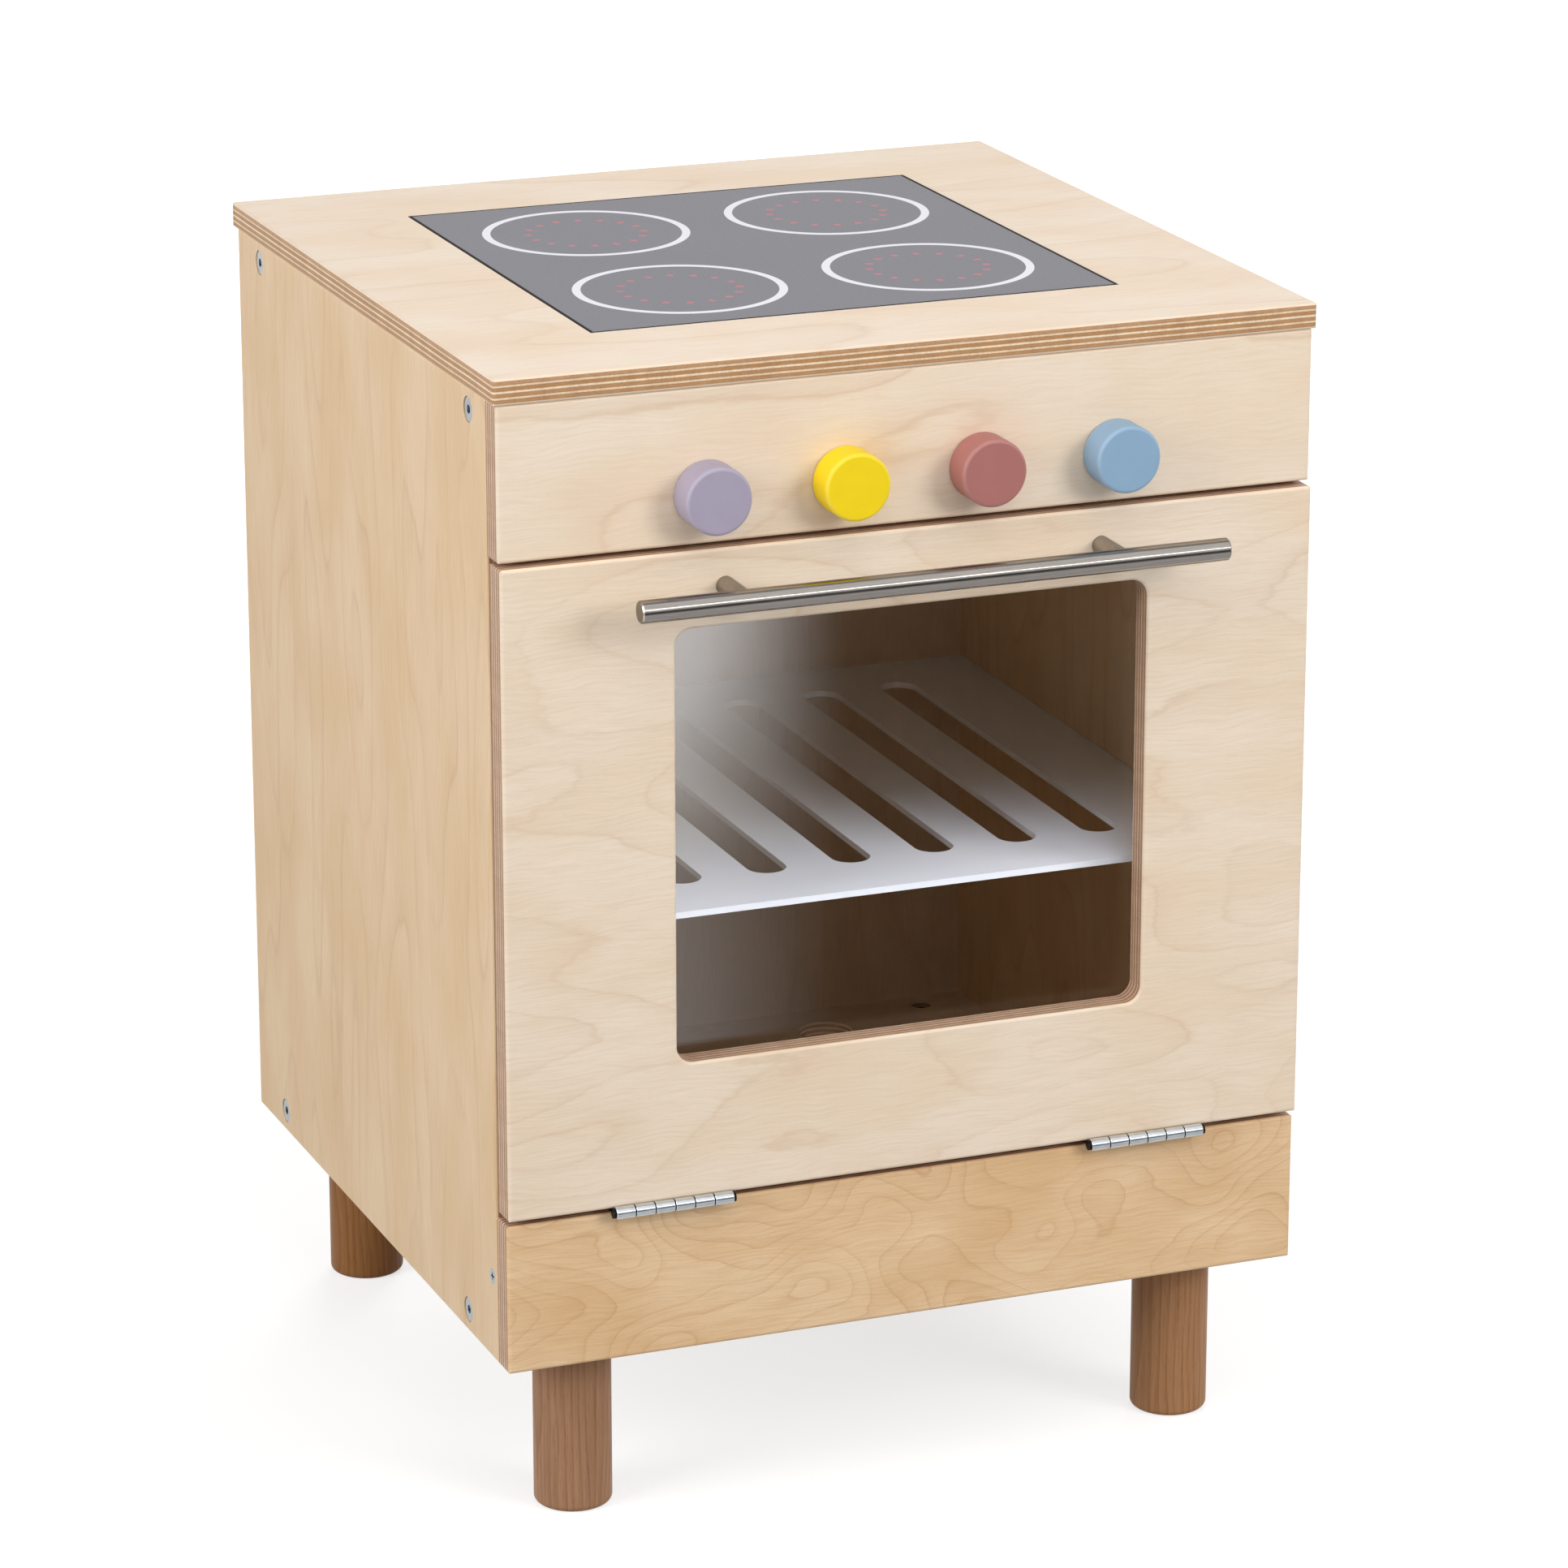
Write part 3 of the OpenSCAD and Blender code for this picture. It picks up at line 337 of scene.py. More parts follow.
def link_light(source, name, include):
    """A card or lamp lights this node only, or every piece but this node."""
    receivers = bpy.data.collections.new(source.name + "_receivers")
    receivers.objects.link(nodes[name])
    if not include:
        receivers.collection_objects[0].light_linking.link_state = "EXCLUDE"
    source.light_linking.receiver_collection = receivers


def lying(z, x_low, x_high, y_low, y_high):
    return [(x_low, y_low, z), (x_high, y_low, z), (x_high, y_high, z), (x_low, y_high, z)]


def upright(y, x_low, x_high, z_low, z_high):
    return [(x_low, y, z_low), (x_high, y, z_low), (x_high, y, z_high), (x_low, y, z_high)]


print("a card's corners:", upright(-4.0, 0, 1, 0, 1))

# %% [markdown]
# The front of the shelf is the brightest thing in the oven, and it darkens quickly towards the
# back. A steep light from above the door does that, since the window's top edge cuts it off.
# More of it on everything would burn out the worktop, so this lamp lights the shelf only.

# %% A lamp for the shelf
shelf_lamp = add_lamp("shelf_lamp", (-0.1, -1.35, 1.9), (0, -0.1, 0.29), size=0.9, power=17)
shelf_lamp.data.color = (0.84, 0.88, 1.0)
shelf_lamp.visible_glossy = False
link_light(shelf_lamp, "oven_shelf", include=True)
print("shelf lamp shines from", [round(v, 2) for v in shelf_lamp.location])

# %% [markdown]
# The round handle bar mirrors a whole turn of its surroundings. From its top edge down it
# shows a dim ceiling, a thin bright strip, the dark horizon, and the grey floor in front. The
# ends of the bar and the bolts in the side panel mirror the floor on the left. The far floor
# card stays black for the window pane, or the oven behind the pane would look milky.

# %% Floors, wall and ceiling for the steel
ABOVE_FLOOR, WALL_Y, STRIP_HEIGHT = 0.003, -4.0, 2.45


def far_floor_light(wiring, place):
    return wiring.step(wiring.split(place)["y"], -1.9, -1.0, 0.12, 0.62)


def wall_light(wiring, place):
    """Dark at the horizon, bright higher up, with a thin strip light."""
    height = wiring.split(place)["z"]
    off_strip = wiring.maths("ABSOLUTE", wiring.maths("SUBTRACT", height, STRIP_HEIGHT))
    return wiring.total(wiring.step(height, 0.4, 1.4, 0.06, 0.85),
                        wiring.step(off_strip, 0.1, 0.36, 5.0, 0.0))


reflection_only(flat_stage("near_floor_card", lying(ABOVE_FLOOR, -0.21, 3.0, -0.7, -0.19),
                           lambda wiring, place: 0.58))
far_floor = flat_stage("far_floor_card", lying(ABOVE_FLOOR, -2.2, 3.0, WALL_Y, -0.7),
                       far_floor_light)
reflection_only(far_floor, through_glass=True)
link_light(far_floor, "window_pane", include=False)
reflection_only(flat_stage("wall_card", upright(WALL_Y, -3.0, 4.5, 0.0, 3.3), wall_light))
reflection_only(flat_stage("ceiling_card", lying(2.95, -2.0, 3.0, -0.4, 3.0),
                           lambda wiring, place: 0.4))
reflection_only(flat_stage("left_floor_card", lying(ABOVE_FLOOR, -1.5, -0.21, -0.1, 2.6),
                           lambda wiring, place: 0.6))
print("cards for the steel: three on the floor, a wall and a ceiling")

# %% [markdown]
# The pane shows that it is there by the reflection of a softbox, which covers the upper left
# of the window and fades out to the right and downwards.

# %% A softbox for the pane
SOFTBOX_LEVEL = 16.5


def softbox_light(wiring, place):
    spot = wiring.split(place)
    sideways = wiring.times(wiring.step(spot["x"], -0.1, 0.03, 0.0, 1.0),
                            wiring.step(spot["x"], 0.05, 0.195, 1.0, 0.0))
    upwards = wiring.times(wiring.step(spot["z"], 0.1, 0.29, 0.2, 1.08),
                           wiring.step(spot["z"], 0.28, 0.36, 1.0, 0.0))
    return wiring.times(sideways, upwards, SOFTBOX_LEVEL)


softbox = flat_stage("window_softbox", upright(-0.7, -0.1, 0.45, 0.006, 0.36), softbox_light,
                     see_through=True)
reflection_only(softbox, through_glass=True)
link_light(softbox, "window_pane", include=True)
print("softbox in front of the window")

# %% [markdown]
# ## Rotary-cut birch veneer
#
# The face of birch plywood is peeled from a turning log like paper from a roll. The knife
# runs nearly along the growth rings, so each ring shows as a closed loop or a long wavy
# flame, like the contour lines of a map. That is exactly how it is made here: a slow noise is
# the height of the land, and its fraction after multiplying is the position between two
# contour lines. The wood darkens slowly towards each ring and lightens fast behind it. A fine
# noise on top frays the lines along the grain, as the fibres do.

# %% The veneer's figure as a node group
def build_veneer_group():
    group, wiring, given, result = new_group(
        "rotary_cut_veneer",
        [("Position", "Vector", (0, 0, 0)), ("Loop Length", "Float", 220.0),
         ("Loop Width", "Float", 90.0), ("Rings", "Float", 12.0), ("Line", "Float", 4.0),
         ("Fray", "Float", 0.12)],
        [("Figure", "Float"), ("Fibre", "Float"), ("Tone", "Float")])
    place = wiring.split(given["Position"])
    along = wiring.maths("DIVIDE", place["x"], given["Loop Length"])
    across = wiring.maths("DIVIDE", place["y"], given["Loop Width"])
    land = wiring.noise(wiring.vector(along, across, place["z"]), detail=1.3, roughness=0.35)
    fray = wiring.noise(wiring.stretch(given["Position"], 1 / 16, 1 / 4, 1), detail=2)
    height = wiring.total(wiring.times(land, given["Rings"]), wiring.times(fray, given["Fray"]))
    ring = wiring.maths("FRACT", height)
    late_wood = wiring.times(wiring.maths("POWER", ring, given["Line"]),
                             wiring.step(ring, 0.86, 1.0, 1.0, 0.0))
    off_line = wiring.maths("ABSOLUTE", wiring.maths("SUBTRACT", ring, 0.9))
    thin_line = wiring.step(off_line, 0.0, 0.05, 0.5, 0.0)
    presence = wiring.step(wiring.noise(wiring.stretch(given["Position"], 1 / 130, 1 / 55, 3)),
                           0.3, 0.65, 0.3, 1.0)
    lines = wiring.total(wiring.times(late_wood, 0.8), thin_line)
    wiring.feed(result["Figure"], wiring.times(lines, presence))
    ripple = wiring.noise(wiring.stretch(given["Position"], 1 / 34, 1 / 16, 1), detail=1)
    waved = wiring.total(place["y"], wiring.times(wiring.maths("SUBTRACT", ripple, 0.5), 9.0))
    streaks = wiring.noise(wiring.vector(wiring.times(place["x"], 1 / 26),
                                         wiring.times(waved, 1 / 1.2), place["z"]),
                           detail=3, roughness=0.6)
    pores = wiring.noise(wiring.stretch(given["Position"], 1 / 4, 1 / 0.45, 1), detail=1)
    dashes = wiring.step(pores, 0.6, 0.74, 0.0, 0.2)
    wiring.feed(result["Fibre"], wiring.total(streaks, dashes))
    cloud = wiring.noise(wiring.stretch(given["Position"], 1 / 90, 1 / 45, 5), detail=2)
    wiring.feed(result["Tone"], cloud)
    return group


veneer = build_veneer_group()
print("veneer outputs:", [s.name for s in veneer.interface.items_tree if s.in_out == "OUTPUT"])

# %% [markdown]
# ## The plies at a sawn edge
#
# Each ply is turned a quarter against the next, so at a sawn edge the plies show long grain
# and end grain by turns: light, dark, light. The depth below the board's face tells which
# ply a point lies in. Because the wood is computed from that depth and not painted on the
# edge, the rounded corner of a board cuts through the plies just as the real router bit does.

# %% The plies as a node group
def build_ply_group():
    group, wiring, given, result = new_group(
        "ply_stack",
        [("Depth", "Float", 0.0), ("Thickness", "Float", 15.0), ("Plies", "Float", 11.0),
         ("Position", "Vector", (0, 0, 0))],
        [("Core", "Float"), ("End Grain", "Float"), ("Glue", "Float"), ("Grit", "Float")])
    sway = wiring.noise(wiring.stretch(given["Position"], 1 / 60, 1 / 60, 0), detail=2)
    wavy = wiring.total(given["Depth"], wiring.times(wiring.maths("SUBTRACT", sway, 0.5), 0.7))
    pitch = wiring.maths("DIVIDE", given["Thickness"], given["Plies"])
    layer = wiring.maths("DIVIDE", wavy, pitch)
    number = wiring.maths("FLOOR", layer)
    within = wiring.maths("FRACT", layer)
    odd = wiring.maths("MODULO", wiring.maths("ABSOLUTE", number), 2.0)
    first = wiring.step(given["Depth"], wiring.times(pitch, 0.82), wiring.times(pitch, 0.94))
    far = wiring.maths("SUBTRACT", given["Thickness"], given["Depth"])
    last = wiring.step(far, wiring.times(pitch, 0.82), wiring.times(pitch, 0.94))
    wiring.feed(result["Core"], wiring.times(first, last))
    own_tone = wiring.node("ShaderNodeTexWhiteNoise", noise_dimensions="1D")
    wiring.feed(own_tone.inputs["W"], number)
    margin = wiring.step(wiring.maths("ABSOLUTE", wiring.maths("SUBTRACT", within, 0.5)),
                         0.24, 0.36, 0.0, 0.85)
    shade = wiring.total(wiring.times(wiring.maths("MAXIMUM", odd, margin), 0.85),
                         wiring.times(own_tone.outputs[0], 0.2))
    wiring.feed(result["End Grain"], shade)
    glue = wiring.total(wiring.step(within, 0.0, 0.09, 1.0, 0.0), wiring.step(within, 0.91, 1.0))
    wiring.feed(result["Glue"], wiring.maths("MINIMUM", glue, 1.0))
    coarse = wiring.noise(wiring.stretch(given["Position"], 1 / 9, 1 / 9, 0), detail=3)
    flecks = wiring.vector(wiring.times(wiring.split(given["Position"])["x"], 0.8),
                           wiring.times(wiring.split(given["Position"])["y"], 0.8),
                           wiring.times(layer, 1.5))
    fine = wiring.noise(flecks, detail=2)
    wiring.feed(result["Grit"], wiring.total(wiring.times(coarse, 0.5), wiring.times(fine, 0.5)))
    return group


plies = build_ply_group()
print("ply inputs:", [s.name for s in plies.interface.items_tree if s.in_out == "INPUT"])

# %% [markdown]
# ## One function for every board
#
# The boards differ in four things only: which way the grain runs, which axis goes through
# the board, the tint of the sheet that it was cut from, and how lively its figure is. The
# function takes those, and every board gets its own seed, so no two show the same loops.

# %% Materials and positions
def new_material(name):
    """A material with its Principled shader, and the point on the object in millimetres."""
    material = bpy.data.materials.new(name)
    material.use_nodes = True
    wiring = Wiring(material.node_tree)
    shader = material.node_tree.nodes["Principled BSDF"]
    place = wiring.node("ShaderNodeTexCoord").outputs["Object"]
    return material, wiring, shader.inputs, wiring.stretch(place, 1000, 1000, 1000)


def add_bump(wiring, shader, height, depth, strength=1.0):
    """Height from 0 to 1 becomes a relief that is depth millimetres deep."""
    bump = wiring.node("ShaderNodeBump")
    wiring.feed(bump.inputs["Strength"], strength)
    wiring.feed(bump.inputs["Distance"], depth * MM)
    wiring.feed(bump.inputs["Height"], height)
    wiring.feed(shader["Normal"], bump.outputs[0])


PALE_PLIES = (colour(252, 230, 198), colour(190, 143, 98))
BROWN_PLIES = (colour(240, 212, 184), colour(180, 141, 112))
GLUE_LINE = colour(132, 90, 60)


def plywood(name, grain, across, through, face, thickness, count, tint, line_tint,
            seed, loops=(220, 90), rings=12, line=4, fray=0.12, contrast=0.5, fibre=0.2,
            edges=BROWN_PLIES):
    """face is where the board's visible face lies on the through axis, in millimetres, and
    thickness is negative where the board lies below it."""
    material, wiring, shader, point = new_material(name)
    axes = wiring.split(point)
    sheet = wiring.vector(axes[grain], axes[across], seed)
    depth = wiring.times(wiring.maths("SUBTRACT", axes[through], face), math.copysign(1, thickness))
    figure = wiring.place(veneer, Position=sheet, Loop_Length=loops[0], Loop_Width=loops[1],
                          Rings=rings, Line=line, Fray=fray)
    stack = wiring.place(plies, Depth=depth, Thickness=abs(thickness), Plies=count, Position=sheet)
    warm = wiring.mix(wiring.step(figure["Tone"], 0.3, 0.7), tint[0], tint[1])
    lined = wiring.mix(wiring.times(figure["Figure"], contrast), warm, line_tint)
    streak = wiring.step(figure["Fibre"], 0.32, 0.78, 0.0, fibre)
    surface = wiring.mix(streak, lined, line_tint)
    edge = wiring.mix(stack["End Grain"], *edges)
    edge = wiring.mix(wiring.times(stack["Glue"], 0.4), edge, GLUE_LINE)
    edge = wiring.mix(wiring.step(stack["Grit"], 0.35, 0.7, 0.0, 0.3), edge, GLUE_LINE)
    base = wiring.mix(stack["Core"], surface, edge)
    rough = wiring.step(figure["Fibre"], 0.3, 0.9, 0.38, 0.5)
    relief = wiring.total(figure["Fibre"], wiring.times(stack["Glue"], stack["Core"], -0.6))
    wiring.feed(shader["Base Color"], base)
    wiring.feed(shader["Roughness"], rough)
    wiring.feed(shader["Specular IOR Level"], 0.25)
    add_bump(wiring, shader, relief, depth=0.05)
    return material


def dress(material, *names):
    """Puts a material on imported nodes."""
    for name in names:
        for place in nodes[name].material_slots:
            place.material = material


# %% [markdown]
# ## The boards
#
# The boards get their own tints: the worktop and the fronts are pale and quiet, the side panels
# a little darker and yellower with upright grain, and the kick panel is a golden offcut full of
# loops.

# %% Every board's wood
low, high = {}, {}
for name in nodes:
    low[name], high[name] = (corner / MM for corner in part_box(name))

PALE = (colour(246, 230, 210), colour(243, 222, 196))
PALE_LINE = colour(214, 178, 142)
TOP = (colour(246, 229, 209), colour(243, 220, 194))
SIDE = (colour(238, 210, 174), colour(232, 200, 158))
SIDE_LINE = colour(202, 162, 116)
QUIET = (colour(234, 214, 190), colour(224, 202, 172))
GOLD = (colour(242, 212, 172), colour(232, 194, 148))
GOLD_LINE = colour(194, 138, 82)

dress(plywood("birch_worktop", "x", "y", "z", high["worktop"].z, -12.5, 9, TOP, PALE_LINE,
              seed=11, loops=(260, 90), rings=8, contrast=0.35, fibre=0.2, edges=PALE_PLIES),
      "worktop")
dress(plywood("birch_control_panel", "x", "z", "y", low["control_panel"].y, 15, 11, PALE,
              PALE_LINE, seed=29, loops=(210, 110), rings=7, contrast=0.46, fibre=0.2),
      "control_panel")
dress(plywood("birch_door", "x", "z", "y", low["door_panel"].y, 15, 11, PALE, PALE_LINE,
              seed=31, loops=(230, 75), rings=10, fray=0.22, contrast=0.36, fibre=0.24),
      "door_panel")
dress(plywood("birch_kick_panel", "x", "z", "y", low["kick_panel"].y, 15, 11, GOLD, GOLD_LINE,
              seed=47, loops=(85, 62), rings=17, fray=0.2, contrast=0.44, fibre=0.28),
      "kick_panel")
dress(plywood("birch_left_side", "z", "y", "x", low["left_side_panel"].x, 18, 13, SIDE,
              SIDE_LINE, seed=58, loops=(300, 60), rings=9, contrast=0.4, fibre=0.22),
      "left_side_panel")
dress(plywood("birch_right_side", "z", "y", "x", high["right_side_panel"].x, -18, 13, SIDE,
              SIDE_LINE, seed=64, loops=(300, 60), rings=9, contrast=0.4, fibre=0.22),
      "right_side_panel")
dress(plywood("birch_back", "z", "x", "y", high["back_panel"].y, -15, 11, QUIET, SIDE_LINE,
              seed=73, loops=(280, 80), rings=8, contrast=0.3, fibre=0.22), "back_panel")
dress(plywood("birch_floor", "x", "y", "z", low["floor_panel"].z, 15, 11, QUIET, SIDE_LINE,
              seed=82, loops=(280, 80), rings=8, contrast=0.3, fibre=0.22, edges=PALE_PLIES),
      "floor_panel")
print("boards dressed; worktop is", round(high["worktop"].z - low["worktop"].z, 1), "mm thick")

# %% [markdown]
# ## Solid wood: rails, dowels and legs
#
# The rails are planed birch, and the legs are turned beech with a brown stain. A picture of
# wood wrapped round a leg would show a seam. In solid wood the rings are sheets that run
# through the whole piece, so one noise in three dimensions, stretched along the grain, does
# for every side of it. Beech also has short dark flecks along the grain.

# %% The grain of solid wood as a node group
def build_grain_group():
    """Position has its first axis along the grain; Share runs from the light to the dark tint."""
    group, wiring, given, result = new_group(
        "solid_grain",
        [("Position", "Vector", (0, 0, 0)), ("Seed", "Float", 1.0), ("Ring Pitch", "Float", 3.4),
         ("Fleck", "Float", 0.0)],
        [("Share", "Float"), ("Streaks", "Float"), ("Flecks", "Float")])
    shifted = wiring.node("ShaderNodeVectorMath", operation="ADD")
    wiring.feed(shifted.inputs[0], given["Position"])
    wiring.feed(shifted.inputs[1], wiring.vector(*(wiring.times(given["Seed"], far)
                                                   for far in (7.0, 3.0, 5.0))))
    place = shifted.outputs[0]
    drift = wiring.noise(wiring.stretch(place, 1 / 160, 1 / 30, 1 / 30), detail=2)
    height = wiring.total(wiring.maths("DIVIDE", wiring.split(place)["y"], given["Ring Pitch"]),
                          wiring.times(drift, 5.0))
    rings = wiring.maths("POWER", wiring.maths("FRACT", height), 3.0)
    streaks = wiring.noise(wiring.stretch(place, 1 / 35, 1 / 1.2, 1 / 1.2), detail=3)
    dashes = wiring.noise(wiring.stretch(place, 1 / 7, 1 / 0.5, 1 / 0.5), detail=1)
    flecks = wiring.step(dashes, 0.6, 0.7)
    wiring.feed(result["Share"], wiring.total(wiring.times(rings, 0.4), wiring.times(streaks, 0.75),
                                              wiring.times(flecks, given["Fleck"]), -0.2))
    wiring.feed(result["Streaks"], streaks)
    wiring.feed(result["Flecks"], flecks)
    return group


solid_grain = build_grain_group()
print("solid grain outputs:", [s.name for s in solid_grain.interface.items_tree
                               if s.in_out == "OUTPUT"])

# %% [markdown]
# Each piece of solid wood says which way its grain runs, and its axes are turned so that the
# grain comes first. The rails are left pale, and every leg has its own stain and seed. The
# rear left leg's tint is also darker and browner, as painted shade.

# %% Rails, dowels and legs
def solid_wood(name, grain, light, dark, ring_pitch, seed, fleck=0.0, rough=(0.42, 0.55)):
    material, wiring, shader, point = new_material(name)
    axes = wiring.split(point)
    turned = wiring.vector(axes[grain], *(axes[axis] for axis in "xyz" if axis != grain))
    wood = wiring.place(solid_grain, Position=turned, Seed=seed, Ring_Pitch=ring_pitch, Fleck=fleck)
    wiring.feed(shader["Base Color"], wiring.mix(wood["Share"], light, dark))
    wiring.feed(shader["Roughness"], wiring.step(wood["Streaks"], 0.3, 0.7, *rough))
    wiring.feed(shader["Specular IOR Level"], 0.18)
    pressed = wiring.times(wood["Flecks"], -0.6)
    add_bump(wiring, shader, wiring.total(wood["Streaks"], pressed), depth=0.08)
    return material


dress(solid_wood("planed_rail", "x", colour(232, 206, 168), colour(200, 162, 116), 4.0, seed=3),
      "front_top_rail", "rear_top_rail", "kick_rail")
dress(solid_wood("beech_dowel", "y", colour(226, 194, 156), colour(190, 150, 108), 3.0, seed=4),
      "fascia_dowels", "kick_dowels")
LEG_RING_PITCH = 3.4
# The brown stain is real; the rear left leg's darker, browner tint is painted shade.
STAIN_AND_SHADE = {"front_left_leg": (colour(176, 134, 102), colour(126, 84, 57)),
         "front_right_leg": (colour(180, 133, 93), colour(132, 87, 54)),
         "rear_left_leg": (colour(161, 111, 64), colour(114, 70, 35)),
         "rear_right_leg": (colour(172, 126, 88), colour(126, 84, 52))}
for seed, (leg, tints) in enumerate(STAIN_AND_SHADE.items(), start=5):
    dress(solid_wood("stained_" + leg, "z", *tints, LEG_RING_PITCH, seed=seed, fleck=0.22), leg)
print("four legs, each with its own piece of beech")

# %% [markdown]
# ## The printed hob
#
# The hob is a thin grey laminate with a printed pattern: four white rings, each round a
# circle of small red marks. Print has no thickness, so it belongs in the material. The four
# rings lie symmetrically, so folding the plane twice with absolute values lets one ring's
# arithmetic draw all four.

# %% The hob
def print_hob():
    material, wiring, shader, point = new_material("printed_hob")
    axes = wiring.split(point)
    centre = (low["hob_panel"] + high["hob_panel"]) / 2
    apart = (62.2, 63.5)
    ring_radius, stroke = 48.0, 4.0
    mark_radius, marks, mark_size = 28.0, 16, 1.8
    # outline is the width of a painted shadow of the gap round the hob.
    outline = 1.6
    u = wiring.maths("SUBTRACT", wiring.maths("ABSOLUTE", axes["x"]), apart[0])
    from_middle = wiring.maths("ABSOLUTE", wiring.maths("SUBTRACT", axes["y"], centre.y))
    v = wiring.maths("SUBTRACT", from_middle, apart[1])
    radius = wiring.maths("SQRT", wiring.total(wiring.times(u, u), wiring.times(v, v)))
    off_ring = wiring.maths("ABSOLUTE", wiring.maths("SUBTRACT", radius, ring_radius))
    white = wiring.step(off_ring, stroke / 2 - 0.12, stroke / 2 + 0.12, 1.0, 0.0)
    turn = wiring.times(wiring.maths("ARCTAN2", v, u), marks / (2 * math.pi))
    sideways = wiring.maths("SUBTRACT", wiring.maths("FRACT", turn), 0.5)
    sideways = wiring.times(sideways, 2 * math.pi * mark_radius / marks)
    outwards = wiring.times(wiring.maths("SUBTRACT", radius, mark_radius), 0.8)
    off_mark = wiring.maths("SQRT", wiring.total(wiring.times(sideways, sideways),
                                                 wiring.times(outwards, outwards)))
    red = wiring.step(off_mark, mark_size - 0.3, mark_size + 0.2, 1.0, 0.0)
    mottle = wiring.noise(wiring.stretch(point, 1 / 1.2, 1 / 1.2, 1 / 1.2), detail=3)
    haze = wiring.noise(wiring.stretch(point, 1 / 90, 1 / 60, 1 / 60), detail=2)
    grey = wiring.mix(wiring.total(wiring.times(mottle, 0.2), wiring.times(haze, 0.8)),
                      colour(90, 89, 99), colour(97, 96, 107))
    inked = wiring.mix(red, grey, colour(176, 82, 94))
    inked = wiring.mix(white, inked, colour(238, 238, 244))
    # Painted shadow: a strip of the outline width round the hob's edge is dark brown and rough,
    # standing in for the shadow in the gap between hob and worktop.
    from_centre = wiring.maths("MAXIMUM", wiring.maths("ABSOLUTE", axes["x"]), from_middle)
    half = (high["hob_panel"].x - low["hob_panel"].x) / 2
    printed = wiring.times(
        wiring.step(axes["z"], high["hob_panel"].z - 0.25, high["hob_panel"].z - 0.1),
        wiring.step(from_centre, half - outline, half - outline + 0.3, 1.0, 0.0))
    wiring.feed(shader["Base Color"], wiring.mix(printed, colour(26, 16, 14), inked))
    sheen = wiring.step(mottle, 0.3, 0.7, 0.33, 0.38)
    wiring.feed(shader["Roughness"], wiring.mix(printed, (0.95, 0.95, 0.95, 1), sheen))
    add_bump(wiring, shader, mottle, depth=0.002)
    return material


dress(print_hob(), "hob_panel")
print("hob is", round(high["hob_panel"].x - low["hob_panel"].x), "mm square")

# %% [markdown]
# ## Paint, moulded parts and felt
#
# The knobs are turned wood under matt paint. Paint over wood is never dead flat: it keeps a
# little orange peel. A painted highlight makes it paler along the rounded front edge. The shelf
# is a white coated board, the catch a moulded housing, and the bumpers are felt.

# %% Two node groups for coats
def build_coat_group():
    """Peel is the fine unevenness of a sprayed or moulded coat, Cloud a slow one in its tone."""
    group, wiring, given, result = new_group(
        "coat_unevenness",
        [("Position", "Vector", (0, 0, 0)), ("Peel Size", "Float", 1.0),
         ("Cloud Size", "Float", 24.0)],
        [("Peel", "Float"), ("Cloud", "Float")])
    for label, detail in (("Peel", 3), ("Cloud", 2)):
        smaller = wiring.node("ShaderNodeVectorMath", operation="SCALE")
        wiring.feed(smaller.inputs[0], given["Position"])
        wiring.feed(smaller.inputs["Scale"], wiring.maths("DIVIDE", 1.0, given[label + " Size"]))
        wiring.feed(result[label], wiring.noise(smaller.outputs[0], detail=detail))
    return group


def build_rim_highlight_group():
    """Painted highlight: 1 on the rounded front edge of a knob that faces -Y, 0 elsewhere."""
    group, wiring, given, result = new_group(
        "painted_rim_highlight",
        [("Position", "Vector", (0, 0, 0)), ("Centre X", "Float", 0.0), ("Centre Z", "Float", 0.0),
         ("Radius", "Float", 17.0), ("Front", "Float", 0.0)],
        [("Rim Highlight", "Float")])
    axes = wiring.split(given["Position"])
    u = wiring.maths("SUBTRACT", axes["x"], given["Centre X"])
    v = wiring.maths("SUBTRACT", axes["z"], given["Centre Z"])
    radius = wiring.maths("SQRT", wiring.total(wiring.times(u, u), wiring.times(v, v)))
    inwards = wiring.maths("SUBTRACT", given["Radius"], radius)
    behind = wiring.maths("SUBTRACT", axes["y"], given["Front"])
    wiring.feed(result["Rim Highlight"], wiring.times(wiring.step(inwards, 0.4, 1.8, 1.0, 0.0),
                                               wiring.step(behind, 0.3, 2.4, 1.0, 0.0)))
    return group


coat_unevenness = build_coat_group()
painted_rim_highlight = build_rim_highlight_group()
print("coat groups:", coat_unevenness.name, "and", painted_rim_highlight.name)

# %% [markdown]
# The two functions below place those groups: one for plain coats, one for the knobs, which
# adds the painted highlight on the rim. The relief stays a few hundredths of a millimetre deep.

# %% Coated and painted surfaces
def coated(name, tint, rough, grain_size, variation=0.06, relief=0.03):
    """An even coat: a fine cloud in the colour, a fine unevenness in the sheen and relief."""
    material, wiring, shader, point = new_material(name)
    coat = wiring.place(coat_unevenness, Position=point, Peel_Size=grain_size)
    darker = tuple(c * (1 - 2 * variation) for c in tint[:3]) + (1.0,)
    share = wiring.total(wiring.times(coat["Peel"], 0.5), wiring.times(coat["Cloud"], 0.5))
    wiring.feed(shader["Base Color"], wiring.mix(share, darker, tint))
    uneven = wiring.step(coat["Peel"], 0.3, 0.7, rough - 0.05, rough + 0.05)
    wiring.feed(shader["Roughness"], uneven)
    add_bump(wiring, shader, coat["Peel"], depth=relief)
    return material


